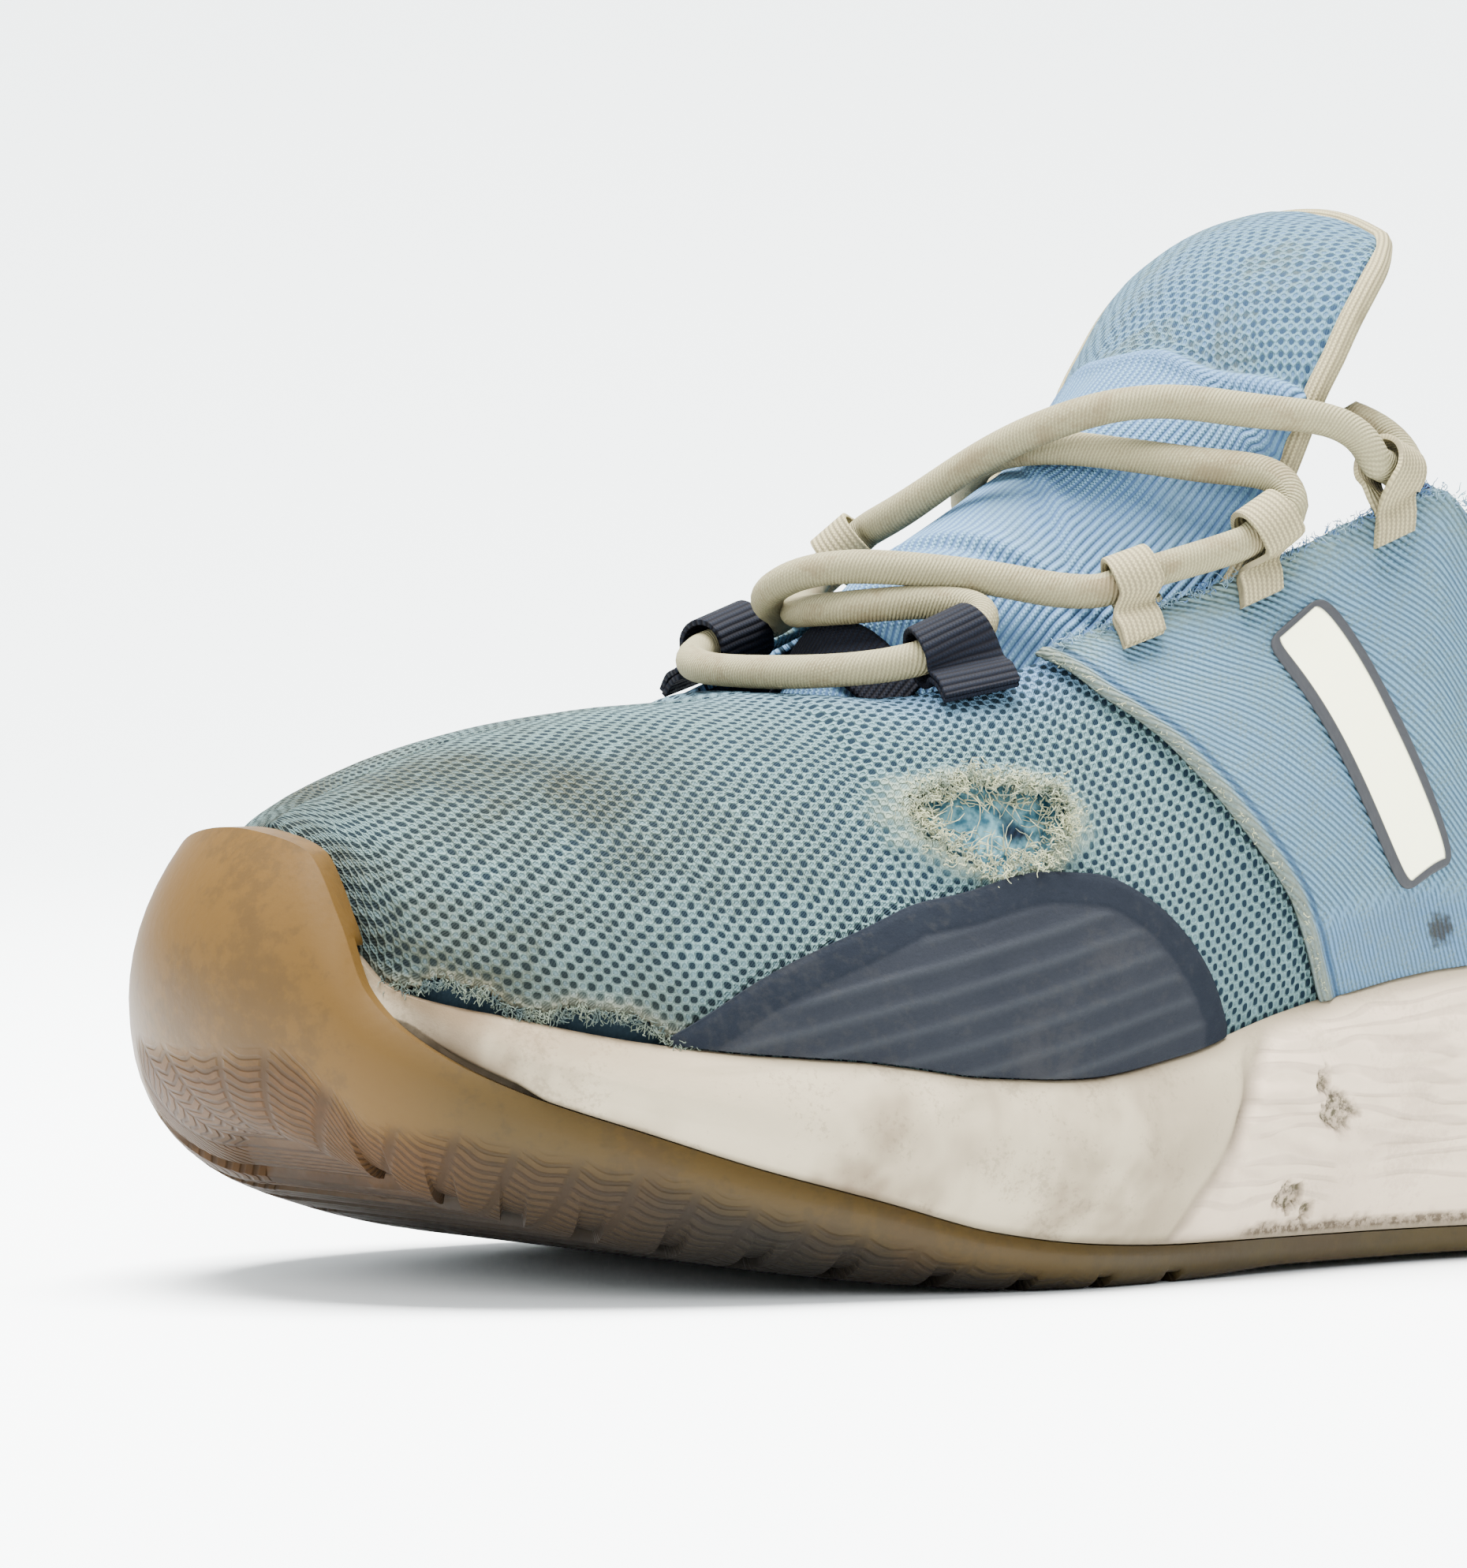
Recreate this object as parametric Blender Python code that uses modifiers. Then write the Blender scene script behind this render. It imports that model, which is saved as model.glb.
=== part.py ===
"""A worn left running shoe: knitted upper on a foam midsole and a rubber outsole, in metres.

The shoe stands on z = 0 with its toe to -Y, its heel to +Y and its outer (lateral) side to +X.
"along" is measured from the back of the heel, "across" to the lateral side, "height" from the floor.
A station is a place on the sole's outline, named by how far along the shoe it lies; every piece that
follows the outline reads its sizes from the tables below, at the same stations.
"""
import math

import bmesh
import bpy
import numpy as np

MM = 0.001
LENGTH = 290 * MM          # back of the heel to the tip of the toe
HEEL_ROUND = 36 * MM       # reach of the outline's rounding at the heel
TOE_ROUND = 50 * MM        # and at the toe
FIT = 0.3 * MM             # gap between pieces that touch
SOLE_FIT = 0.7 * MM        # and between the foam and the rubber that wraps it

LIP = 1.5 * MM             # foam lip outside the upper
WALL = 1.8 * MM            # knitted wall of the upper
TAB = 0.8 * MM             # woven strip at the foot of the tongue
INSOLE = 4.0 * MM
INSOLE_FIT = 0.7 * MM      # gap round the insole
TONGUE_PAD = 3.4 * MM
TONGUE_HEM = 0.75          # run at which the ribbed sleeve of the tongue ends
TONGUE_STEP = 1.0 * MM     # thickness of that sleeve
RUBBER = 3.0 * MM          # outsole under the foot
RUBBER_LIP = 2.5 * MM      # outsole where it wraps up the side
BUMPER_FADE = 264 * MM     # stations between which the foam goes from above the rubber to behind its bumper
BUMPER_START = 276 * MM
FOAM_BEHIND = 4 * MM       # foam wall that shows, or stands behind the bumper
HOOD = 3 * MM              # how far the bumper rises over the foam where it closes over it
OVERLAY_FIT = 0.6 * MM     # gap under the pieces laid over the upper
OVERLAY = 0.8 * MM
QUARTER = 0.9 * MM

GROOVE_WIDTH = 2.4 * MM    # cross grooves between the outsole's lugs
GROOVE_DEPTH = 1.6 * MM
GROOVE_WALL = 0.3 * MM
MARK_CLEAR = 1.5 * MM      # no plain section comes nearer to a groove than this
HEEL_GROOVES = [22, 34, 46, 58, 70]
TOE_GROOVES = [180, 192, 204, 216, 228, 239, 249.5, 259, 267.5, 275, 281.5]
BUMPER_STATIONS = [263, 271, 272, 278, 285, 286.5]
THROAT_TURNS = np.radians([0, 20, 45])  # extra sections round the end of the throat
SECTIONS = 33              # plain sections from heel to toe


class Table:
    """Rows under named columns, in mm, read at any place along the first column through a smooth curve."""

    def __init__(self, columns, rows):
        self.columns = columns.split()
        self.rows = np.array(rows, float) * MM

    def at(self, column, x):
        xs, ys = self.rows[:, 0], self.rows[:, self.columns.index(column)]
        step = np.diff(xs)
        slope = np.diff(ys) / step
        tangent = np.zeros(len(xs))
        w1, w2 = 2 * step[1:] + step[:-1], step[1:] + 2 * step[:-1]
        steady = slope[:-1] * slope[1:] > 0
        with np.errstate(divide="ignore", invalid="ignore"):
            mean = (w1 + w2) / (w1 / slope[:-1] + w2 / slope[1:])
        tangent[1:-1][steady] = mean[steady]
        tangent[0], tangent[-1] = slope[0], slope[-1]
        x = np.clip(np.asarray(x, float), xs[0], xs[-1])
        k = np.clip(np.searchsorted(xs, x) - 1, 0, len(xs) - 2)
        t = (x - xs[k]) / step[k]
        low, high = ys[k], ys[k + 1]
        leave, arrive = step[k] * tangent[k], step[k] * tangent[k + 1]
        return (low + t * leave + t * t * (3 * (high - low) - 2 * leave - arrive)
                + t**3 * (2 * (low - high) + leave + arrive))


# Centre line and half width of the sole's outline, before its ends are rounded.
OUTLINE = Table("along centre half", [
    (0, 0, 36), (30, 0.5, 39.5), (66, 2, 39.5), (104, 3.5, 38.5), (134, 4, 39), (160, 4, 42),
    (178, 2.5, 47), (198, 0.3, 52), (212, -1.2, 52.8), (229, -2.6, 51), (246, -3.2, 47.5),
    (261, -3.6, 44.5), (276, -3.8, 43), (290, -3.6, 41.5)])

# Tread surface: rounded heel, flat heel rest, low arch, flat forefoot rest, toe spring.
GROUND = Table("along height", [
    (0, 12), (8, 4), (18, 1), (30, 0), (62, 0), (98, 0.4), (134, 1.0), (160, 1.0), (176, 0.2), (184, 0),
    (200, 0), (212, 0.7), (226, 2.2), (240, 4.4), (252, 7.2), (262, 10.2), (270, 14), (277, 19), (290, 30)])

# Side of the sole by station: top of the rubber and of the foam on each side (_l lateral, _m medial),
# how far in from the outline the rubber's top, the foam's top, the tread's edge and the rubber's widest
# line (belt) lie, the height of that belt, and the height of the bed under the foot.
SIDE = Table("along rubber_l rubber_m foam_l foam_m low_in top_in tread_in belt_in belt bed", [
    (0, 12, 12, 48, 48, 1, 7, 9, 1, 9, 36),
    (12, 7, 7, 46.5, 47, 1, 6.5, 8, 1, 5, 35.5),
    (26, 5, 5, 44.5, 45.5, 1, 6, 7, 1, 3.6, 34),
    (62, 4.2, 4.2, 41, 43, 1.5, 5, 5, 1.5, 3, 31),
    (98, 3.8, 4, 38.3, 42, 3, 4, 5, 3, 2.8, 29),
    (134, 4.2, 5, 36.2, 41, 3.5, 3, 5, 3.5, 3.2, 26),
    (160, 4.4, 5, 31.8, 36, 3.5, 3, 5, 3.5, 3.2, 22.5),
    (178, 4.6, 4.8, 27.4, 31, 3.5, 3.5, 6, 3.3, 3.4, 20),
    (196, 5.6, 6, 25.2, 28, 3.3, 3.5, 8, 2.8, 4.2, 18.5),
    (210, 7.6, 9, 25.8, 27.5, 2.8, 3.5, 11, 2.2, 6, 18.5),
    (226, 12, 13, 28, 28, 2.2, 4, 14, 1.6, 10, 20),
    (241, 16.2, 16.5, 29.3, 29.3, 1.6, 4, 16, 1, 13.5, 22),
    (254, 20.6, 21, 31, 31, 1.2, 4, 17, 0.6, 17.5, 24),
    (268, 26, 26.5, 34, 34, 1, 4, 17, 0.3, 22.5, 27),
    (276.5, 31.3, 32, 36, 36, 1, 4.5, 17, 0, 27.5, 29),
    (281, 37, 37, 38, 38, 2, 7, 16, 0, 31, 30.5),
    (283.5, 45, 45, 41, 41, 4, 8.2, 15, 0, 34, 31.5),
    (286.5, 53, 53, 44, 44, 6, 9.6, 14, 0, 36, 33),
    (290, 55.5, 55.5, 46, 46, 7.2, 10.6, 13, 0, 37, 34)])

# Upper by station: where the section that stands there ends at the top (top_along, moved by skew towards
# the toe on the medial side; top_c and top_half across; top_z), how steeply it leaves the sole (up, in
# thousandths of its height; out, in mm) and how flatly it arrives at the top (spread, drop, in thousandths).
UPPER = Table("along top_along skew top_c top_half top_z up out spread drop", [
    (0, 3, 0, 0, 25, 98, 450, 2, 0, 300),
    (30, 22, 0, 0, 28, 91, 400, 3, 100, 300),
    (62, 50, 0, 1, 31, 80, 330, 2, 100, 300),
    (96, 90, 1, 2, 32, 77.5, 330, 1, 200, 250),
    (118, 112, 2, 2, 32, 82, 330, 1, 250, 250),
    (130, 126, 3, 2, 31, 88.5, 330, 1, 300, 250),
    (137, 134, 4, 2, 30, 94.8, 330, 1, 330, 230),
    (145, 143, 4.5, 2, 28.5, 92, 330, 1, 350, 220),
    (160, 160, 5, 2, 27, 85, 330, 2, 400, 200),
    (178, 180, 4, 1, 25, 77.5, 330, 2, 450, 150),
    (196, 195, 3, 1, 23, 72.3, 350, 2, 500, 100),
    (212, 205, 1, 0, 21, 70.3, 400, 2, 560, 30),
    (219, 209, 0, 0, 20, 70, 450, 2, 620, 0),
    (238, 232, 0, -2, 20, 68.6, 500, 2, 620, 0),
    (256, 250, 0, -3, 20, 65.8, 500, 2, 600, 0),
    (272, 264, 0, -4, 20, 61.4, 550, 1, 550, 0),
    (283, 273, 0, -4, 20, 57.8, 600, 0.5, 500, 0),
    (290, 277.2, 0, -3.6, 20, 55.9, 600, 0.5, 450, 0)])
THROAT = 219 * MM          # station of the section that closes the throat
THROAT_ROUND = 16 * MM     # reach of the throat's rounding

# Tongue by run, from its root under the throat (0) to its tip (1000), each row a section across it.
TONGUE = Table("run along height half drop back", [
    (0, 215, 57, 14, 3, 0),
    (70, 208, 62.5, 15, 6, 1),
    (130, 202, 70.2, 16, 11.5, 2),
    (260, 192.5, 82.8, 19.5, 15.8, 4),
    (420, 178, 91.8, 22, 18.3, 6),
    (580, 164, 100.4, 23.5, 19.9, 5),
    (700, 153, 110.8, 25, 16.8, 2),
    (820, 144, 122, 26, 13, 0),
    (910, 137, 127.2, 25, 8, 0),
    (970, 130.5, 129.6, 21.5, 5, 0),
    (1000, 126, 130.3, 16, 3, 0)])

# Lace loops: side, the station where each is sewn down, its width, and the middle of the cord it holds.
LOOPS = {
    "tab_loop_lateral": (1, 200, 10, 196, 20.6, 76.4),
    "lace_loop_lateral_1": (1, 175, 6, 172.6, 27, 84.2),
    "lace_loop_lateral_2": (1, 161, 6, 155.6, 31.8, 90.6),
    "lace_loop_lateral_3": (1, 143, 5.6, 137, 32.6, 97.6),
    "tab_loop_medial": (-1, 200, 10, 199.5, -20.6, 76.4),
    "lace_loop_medial_1": (-1, 178, 6, 184, -17, 87.5),
    "lace_loop_medial_2": (-1, 147, 6, 149.6, -30, 97)}
LOOP_FOOT = 0.84           # v where the loops are sewn down
LOOP_LIFT = {"lace": 3.3 * MM, "tab": 2.3 * MM}   # how far their middle stands off the upper
WEBBING = 0.7 * MM
LOOP_SLACK = 1.0 * MM       # between a loop and its cord
LACE_RADIUS = 2.2 * MM
LACE_SPACING = 6 * MM
STRAIGHT = 1.6 * MM        # how far the lace runs straight on from a loop
LACE_TAIL = 1 * MM         # what the lace shows past its last loop
# The lace from its medial end to its lateral end: the loops it runs through, places over the tongue (run and
# w in thousandths, lift of the cord's middle above the sleeve in mm), and places in the open ("at", along,
# across, height).
LACE = [
    ("lace_loop_medial_2",), (625, -900, 3.6), (555, -600, 3), (505, -150, 3), (545, 220, 2.8),
    (593, 510, 2.8), (637, 680, 3), (662, 830, 4), ("at", 150.4, 30.6, 98), ("lace_loop_lateral_2",),
    ("lace_loop_lateral_1",), (392, 800, 4.6), (335, 620, 4.2), (275, 440, 5.2), (240, 200, 7),
    (216, -100, 8.8), (205, -380, 8.2), ("at", 191, -17.6, 79.4), ("tab_loop_medial",),
    ("at", 209.5, -15.5, 73.5), ("at", 210.5, -8, 73), ("at", 209.8, 2, 72.9), ("at", 208.4, 10, 73),
    ("at", 205.4, 16.6, 73.6), ("tab_loop_lateral",), ("at", 187, 19.2, 81.2), (285, 620, 3.6),
    (250, 460, 3.2), (205, 200, 3.9), (202, -150, 3.9), (228, -480, 3.6), ("at", 191, -15.5, 82),
    ("lace_loop_medial_1",), (384, -290, 3.2), (430, -190, 3.4), (472, 60, 5.2), (540, 280, 7.8),
    (607, 420, 9), (665, 570, 6.6), (707, 740, 4.6), (738, 880, 4), ("at", 141.5, 32.6, 103.5),
    ("lace_loop_lateral_3",), ("at", 130.6, 29.5, 99.5), ("at", 132, 25.5, 103.5), ("at", 136.5, 22, 104.5)]

# Where the knitted quarter meets the mesh: station of its front edge by the section's v (thousandths).
QUARTER_SEAM = Table("v station", [
    (0, 154.5), (185, 158.4), (439, 167.6), (632, 175), (792, 182.1), (1000, 188.5)])
# Upper edge of the overlay patch at the lateral forefoot: v (thousandths) by station.
PATCH_EDGE = Table("station v", [
    (170.6, 30), (172.2, 110), (176, 225), (183, 350), (191, 420), (199, 431), (213, 362), (226, 252),
    (239, 150), (247, 60), (250.5, 20)])


def place(along, across, height):
    """Frame coordinates of a place on the shoe."""
    along, across, height = np.broadcast_arrays(along, across, height)
    return np.stack([across, LENGTH / 2 - along, height], -1).astype(float)


def end_round(distance, reach, power=2.0):
    """Grows from 0 at an end to 1 at its reach, as a superellipse does."""
    d = np.clip(distance / reach, 0, 1)
    return (1 - (1 - d) ** power) ** (1 / power)


def outline(turn):
    """Along and across of the outline, by angle: 0 at the heel, pi at the toe, lateral side first."""
    along = LENGTH / 2 * (1 - np.cos(turn))
    half = OUTLINE.at("half", along) * end_round(along, HEEL_ROUND)
    half = half * end_round(LENGTH - along, TOE_ROUND, 2.1)
    return along, OUTLINE.at("centre", along) + np.where(np.sin(turn) >= 0, half, -half)


def turn_at(station):
    return np.arccos(np.clip(1 - 2 * np.asarray(station, float) / LENGTH, -1, 1))


def station_at(turn):
    return LENGTH / 2 * (1 - np.cos(turn))


def rim(station, side, inset=0.0):
    """Along and across of the outline at a station, moved inward square to it; side is 1 or -1 (medial)."""
    turn = side * turn_at(station)
    step = 0.004
    along, across = outline(turn)
    along0, across0 = outline(turn - step)
    along1, across1 = outline(turn + step)
    length = np.hypot(along1 - along0, across1 - across0)
    return along + inset * (across1 - across0) / length, across - inset * (along1 - along0) / length


def side_value(column, station, side):
    return SIDE.at(column + ("_l" if side > 0 else "_m"), station)


def rim_point(station, side, inset, height):
    along, across = rim(station, side, inset)
    return place(along, across, height)


def upper_point(station, side, v):
    """Outer surface of the upper: v runs from the foam lip (0) to the top edge (1)."""
    station, v = np.broadcast_arrays(np.asarray(station, float), np.asarray(v, float))
    foot = rim_point(station, side, SIDE.at("top_in", station) + LIP + FIT, side_value("foam", station, side))
    outward = rim_point(station, side, -1.0, 0) - rim_point(station, side, 0.0, 0)
    rounding = end_round(station, HEEL_ROUND) * end_round(THROAT - station, THROAT_ROUND)
    half = UPPER.at("top_half", station) * rounding
    top = place(UPPER.at("top_along", station) - side * UPPER.at("skew", station),
                UPPER.at("top_c", station) + side * half, UPPER.at("top_z", station))
    up, spread, drop = (UPPER.at(column, station)[..., None] for column in ("up", "spread", "drop"))
    rise = (top - foot) * [0, 0, 1]
    flat = (foot - top) * [1, 1, 0]
    low = foot + outward * UPPER.at("out", station)[..., None] + rise * up
    high = top + flat * spread - rise * drop
    v = v[..., None]
    return (1 - v)**3 * foot + 3 * v * (1 - v)**2 * low + 3 * v**2 * (1 - v) * high + v**3 * top


def upper_normal(station, side, v):
    """Outward unit normal of the upper."""
    ds, dv = 0.4 * MM, 0.004
    station = np.clip(station, ds, LENGTH - ds)
    along_it = upper_point(station + ds, side, v) - upper_point(station - ds, side, v)
    up_it = upper_point(station, side, np.asarray(v) + dv) - upper_point(station, side, np.asarray(v) - dv)
    normal = np.cross(up_it, along_it) * side
    return normal / np.linalg.norm(normal, axis=-1, keepdims=True)


def off_upper(station, side, v, distance):
    return upper_point(station, side, v) + upper_normal(station, side, v) * distance


def tongue_point(run, w):
    """Outer surface of the tongue: run 0 to 1 from root to tip, w -1 (medial edge) to 1."""
    bend = np.abs(w) ** 2.2
    return place(TONGUE.at("along", run) - TONGUE.at("back", run) * bend,
                 1 * MM + TONGUE.at("half", run) * w,
                 TONGUE.at("height", run) - TONGUE.at("drop", run) * bend)


def tongue_normal(run, w):
    d = 0.004
    low, high = max(run - d, 0.0), min(run + d, 1.0)
    across = tongue_point(run, w + d) - tongue_point(run, w - d)
    normal = np.cross(across, tongue_point(high, w) - tongue_point(low, w))
    return normal / np.linalg.norm(normal)


def off_tongue(run, w, distance):
    return tongue_point(run, w) + tongue_normal(run, w) * distance


def material(name, colour, roughness=0.8, metallic=0.0):
    made = bpy.data.materials.new(name)
    made.use_nodes = True
    shader = made.node_tree.nodes["Principled BSDF"]
    shader.inputs["Base Color"].default_value = (*colour, 1)
    shader.inputs["Roughness"].default_value = roughness
    shader.inputs["Metallic"].default_value = metallic
    return made


def mesh_object(name, mesh, finish, collection):
    mesh.materials.append(finish)
    mesh.shade_smooth()
    mesh.set_sharp_from_angle(angle=math.radians(35))
    made = bpy.data.objects.new(name, mesh)
    collection.objects.link(made)
    return made


def loft(name, rows, finish, collection, ring=True, caps=False):
    """Skin rows of points into a mesh; ring closes each row on itself, caps closes the first and last."""
    bm = bmesh.new()
    grid = [[bm.verts.new(p) for p in row] for row in rows]
    width = len(grid[0])
    for here, there in zip(grid, grid[1:]):
        for j in range(width if ring else width - 1):
            k = (j + 1) % width
            bm.faces.new((here[j], here[k], there[k], there[j]))
    if caps:
        bm.faces.new(reversed(grid[0]))
        bm.faces.new(grid[-1])
    bmesh.ops.remove_doubles(bm, verts=bm.verts, dist=0.00002)
    bmesh.ops.recalc_face_normals(bm, faces=bm.faces)
    mesh = bpy.data.meshes.new(name)
    bm.to_mesh(mesh)
    bm.free()
    return mesh_object(name, mesh, finish, collection)


def even_stations(count):
    """Stations that crowd towards the rounded heel and toe."""
    return station_at(np.linspace(0, math.pi, count))


# ---------------------------------------------------------------- sole

def tread_height(station, side):
    along, _ = rim(station, side, SIDE.at("tread_in", station))
    return float(GROUND.at("height", along))


def rubber_outside(station, side, lift):
    """Points from the tread's edge round the belt to the rubber's top edge."""
    tread_in, belt_in = SIDE.at("tread_in", station), SIDE.at("belt_in", station)
    ground, belt = tread_height(station, side), SIDE.at("belt", station)
    points = []
    for t in np.linspace(0, 1, 4):
        inset = tread_in + (belt_in - tread_in) * math.sin(t * math.pi / 2)
        height = ground + (belt - ground) * (1 - math.cos(t * math.pi / 2))
        points.append(rim_point(station, side, inset, height + lift * max(0.0, 1 - 1.4 * t)))
    points.append(rim_point(station, side, SIDE.at("low_in", station), side_value("rubber", station, side)))
    return points


def inside_curve(station, side, top):
    """The face between rubber and foam: a quarter ellipse from the rubber's top edge down to its floor.

    Gives inset and height at four angles, none of them above top, and the first of them as an inset."""
    rubber = side_value("rubber", station, side)
    upper_in = SIDE.at("low_in", station) + RUBBER_LIP
    floor_in = SIDE.at("tread_in", station) + 1.5 * MM
    ground = tread_height(station, side)
    floor = ground + min(RUBBER, rubber - ground - FIT)
    start = math.asin(min(1.0, max(0.0, (rubber - top) / (rubber - floor))))
    angles = np.maximum(np.linspace(0, math.pi / 2, 4), start)
    return upper_in + (floor_in - upper_in) * (1 - np.cos(angles)), rubber + (floor - rubber) * np.sin(angles)


def inside_inset(station, side, top):
    return inside_curve(station, side, top)[0][0]


def rubber_inside(station, side, gap, top=1.0):
    """Points along that face, moved up and inward by a gap."""
    insets, heights = inside_curve(station, side, top)
    return [rim_point(station, side, inset + gap, height + gap) for inset, height in zip(insets, heights)]


def bumper_hood(station, side):
    """At the toe the rubber closes over the foam, as far as the upper."""
    rubber, foam = side_value("rubber", station, side), side_value("foam", station, side)
    if rubber < foam + HOOD:
        return rubber_inside(station, side, 0.0)[:1] * 2 + rubber_inside(station, side, 0.0)
    inset, bottom = SIDE.at("top_in", station) + LIP, foam + 2 * SOLE_FIT
    over = [rim_point(station, side, inset, rubber - HOOD / 4), rim_point(station, side, inset, bottom)]
    return over + rubber_inside(station, side, 0.0, bottom)


def groove_lift(station):
    """How far the tread is cut away at a station."""
    for middle in HEEL_GROOVES + TOE_GROOVES:
        if abs(station - middle * MM) < GROOVE_WIDTH / 2 + 0.01 * MM:
            return GROOVE_DEPTH
    return 0.0


def tread_stations():
    """Plain stations, and four for each groove: its two walls, each with a foot and an edge."""
    marks = set()
    for middle in HEEL_GROOVES + TOE_GROOVES:
        for half in (GROOVE_WIDTH / 2, GROOVE_WIDTH / 2 + GROOVE_WALL):
            marks.update((middle * MM - half, middle * MM + half))
    plain = [float(station) for station in even_stations(SECTIONS)
             if all(abs(station - mark) > MARK_CLEAR for mark in marks)]
    return sorted(marks.union(plain, (station * MM for station in BUMPER_STATIONS)))


def foam_stations():
    """The same stations without the insides of the grooves."""
    return [station for station in tread_stations() if not groove_lift(station) or station > BUMPER_START]


def build_outsole(finish, collection):
    rows = []
    for station in tread_stations():
        lift = groove_lift(station)
        sides = [rubber_outside(station, side, lift) + bumper_hood(station, side) for side in (1, -1)]
        rows.append(sides[0] + sides[1][::-1])
    return loft("outsole", rows, finish, collection)


def foam_outside(station, side):
    """Points from the foam's lower edge, over its bulge, to its lip."""
    foam, rubber = side_value("foam", station, side), side_value("rubber", station, side)
    bumper = float(np.clip((station - BUMPER_FADE) / (BUMPER_START - BUMPER_FADE), 0, 1))
    behind = inside_inset(station, side, foam - FOAM_BEHIND) + SOLE_FIT
    low_in = (1 - bumper) * (SIDE.at("low_in", station) + 0.2 * MM) + bumper * behind
    low = min(rubber, foam - FOAM_BEHIND) + SOLE_FIT
    top_in = SIDE.at("top_in", station)
    wide_in = bumper * (low_in + top_in) / 2
    points = []
    for t in np.linspace(0, 1, 5):
        belly = 2 * wide_in - (low_in + top_in) / 2
        inset = low_in * (1 - t)**2 + 2 * belly * t * (1 - t) + top_in * t * t
        points.append(rim_point(station, side, max(inset, 0.0), low + (foam - low) * t))
    return points


def build_midsole(finish, collection):
    rows = []
    for station in foam_stations():
        sides = []
        for side in (1, -1):
            foam, rubber = side_value("foam", station, side), side_value("rubber", station, side)
            inner = SIDE.at("top_in", station) + LIP
            under = rubber_inside(station, side, SOLE_FIT, foam - FOAM_BEHIND)
            cup = [rim_point(station, side, inner, height) for height in (foam, SIDE.at("bed", station))]
            sides.append(under[::-1] + foam_outside(station, side) + cup)
        rows.append(sides[0] + sides[1][::-1])
    return loft("midsole", rows, finish, collection)


def build_insole(finish, collection):
    rows = []
    for station in even_stations(29):
        inset = SIDE.at("top_in", station) + LIP + FIT + WALL + INSOLE_FIT
        low = SIDE.at("bed", station) + FIT
        corners = [(1, low), (1, low + INSOLE), (-1, low + INSOLE), (-1, low)]
        rows.append([rim_point(station, side, inset, height) for side, height in corners])
    return loft("insole", rows, finish, collection)


# ---------------------------------------------------------------- upper

def upper_column(station, side, rows):
    """One section of the upper's outer face, from the bed inside the foam cup to the top edge."""
    inset = SIDE.at("top_in", station) + LIP + FIT
    bed = SIDE.at("bed", station) + FIT
    skirt = [rim_point(station, side, inset, bed)]
    return skirt + [upper_point(station, side, v) for v in np.linspace(0, 1, rows)]


def build_upper(finish, collection):
    """A single sheet round the foot, open at the collar, the throat and underneath, then given its wall."""
    stations = sorted([*even_stations(SECTIONS), *(THROAT - THROAT_ROUND * (1 - np.cos(THROAT_TURNS)))])
    lateral = [upper_column(station, 1, 9) for station in stations]
    medial = [upper_column(station, -1, 9) for station in reversed(stations)]
    sheet = loft("upper", lateral + medial, finish, collection, ring=False)
    wall = sheet.modifiers.new("wall", "SOLIDIFY")
    wall.thickness = WALL
    wall.offset = -1
    wall.use_even_offset = True
    return sheet


def build_quarter(finish, collection):
    """The knit laid over the mesh from the seam on one side, round the heel, to the seam on the other."""
    rows = []
    for v in np.linspace(0.016, 0.985, 8):
        front = turn_at(QUARTER_SEAM.at("station", v))
        places = [(station_at(abs(turn)), 1 if turn >= 0 else -1) for turn in np.linspace(-front, front, 33)]
        faces = []
        for distance in (OVERLAY_FIT, OVERLAY_FIT + QUARTER):
            faces.append([off_upper(station, side, v, distance) for station, side in places])
        rows.append(faces[0] + faces[1][::-1])
    return loft("quarter", rows, finish, collection, caps=True)


def build_patch(finish, collection):
    """The overlay patch at the lateral forefoot, standing on the foam lip."""
    rows = []
    for station in np.linspace(170.6 * MM, 250.5 * MM, 19):
        top = float(PATCH_EDGE.at("v", station))
        levels = np.linspace(0.012, top, 5)
        lifts = (OVERLAY_FIT, OVERLAY_FIT + OVERLAY)
        faces = [[off_upper(station, 1, v, distance) for v in levels] for distance in lifts]
        rows.append(faces[0] + faces[1][::-1])
    return loft("forefoot_patch", rows, finish, collection, caps=True)


def build_tongue(finish, collection):
    """Padded tongue; its ribbed sleeve is a step in the wall that ends below the mesh tip."""
    hem = TONGUE_HEM
    runs = [*np.linspace(0, hem - 0.05, 10), hem - 0.004, hem + 0.004, *np.linspace(hem + 0.05, 1, 6)]
    rows = []
    for run in runs:
        lift = TONGUE_STEP if run < hem else 0.0
        rows.append([off_tongue(run, w, lift) for w in np.linspace(-1, 1, 13)])
    sheet = loft("tongue", rows, finish, collection, ring=False)
    pad = sheet.modifiers.new("pad", "SOLIDIFY")
    pad.thickness = TONGUE_PAD
    pad.offset = -1
    pad.use_even_offset = True
    return sheet


# ---------------------------------------------------------------- collar, loops and lace

def build_collar_lining(finish, collection):
    """Padded band inside the collar, from one side of the tongue round the heel; it rises over the edge."""
    profile = [(0.62, -2.8), (0.8, -2.8), (1.0, -2.8), (1.04, -2.4), (1.055, -3.2), (1.03, -4.6),
               (0.95, -6.2), (0.8, -6.6), (0.68, -4.6)]
    front = float(turn_at(139 * MM))
    rows = []
    for turn in np.linspace(-front, front, 27):
        side = 1 if turn >= 0 else -1
        rows.append([off_upper(station_at(abs(turn)), side, v, depth * MM) for v, depth in profile])
    return loft("collar_lining", rows, finish, collection, caps=True)


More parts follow.
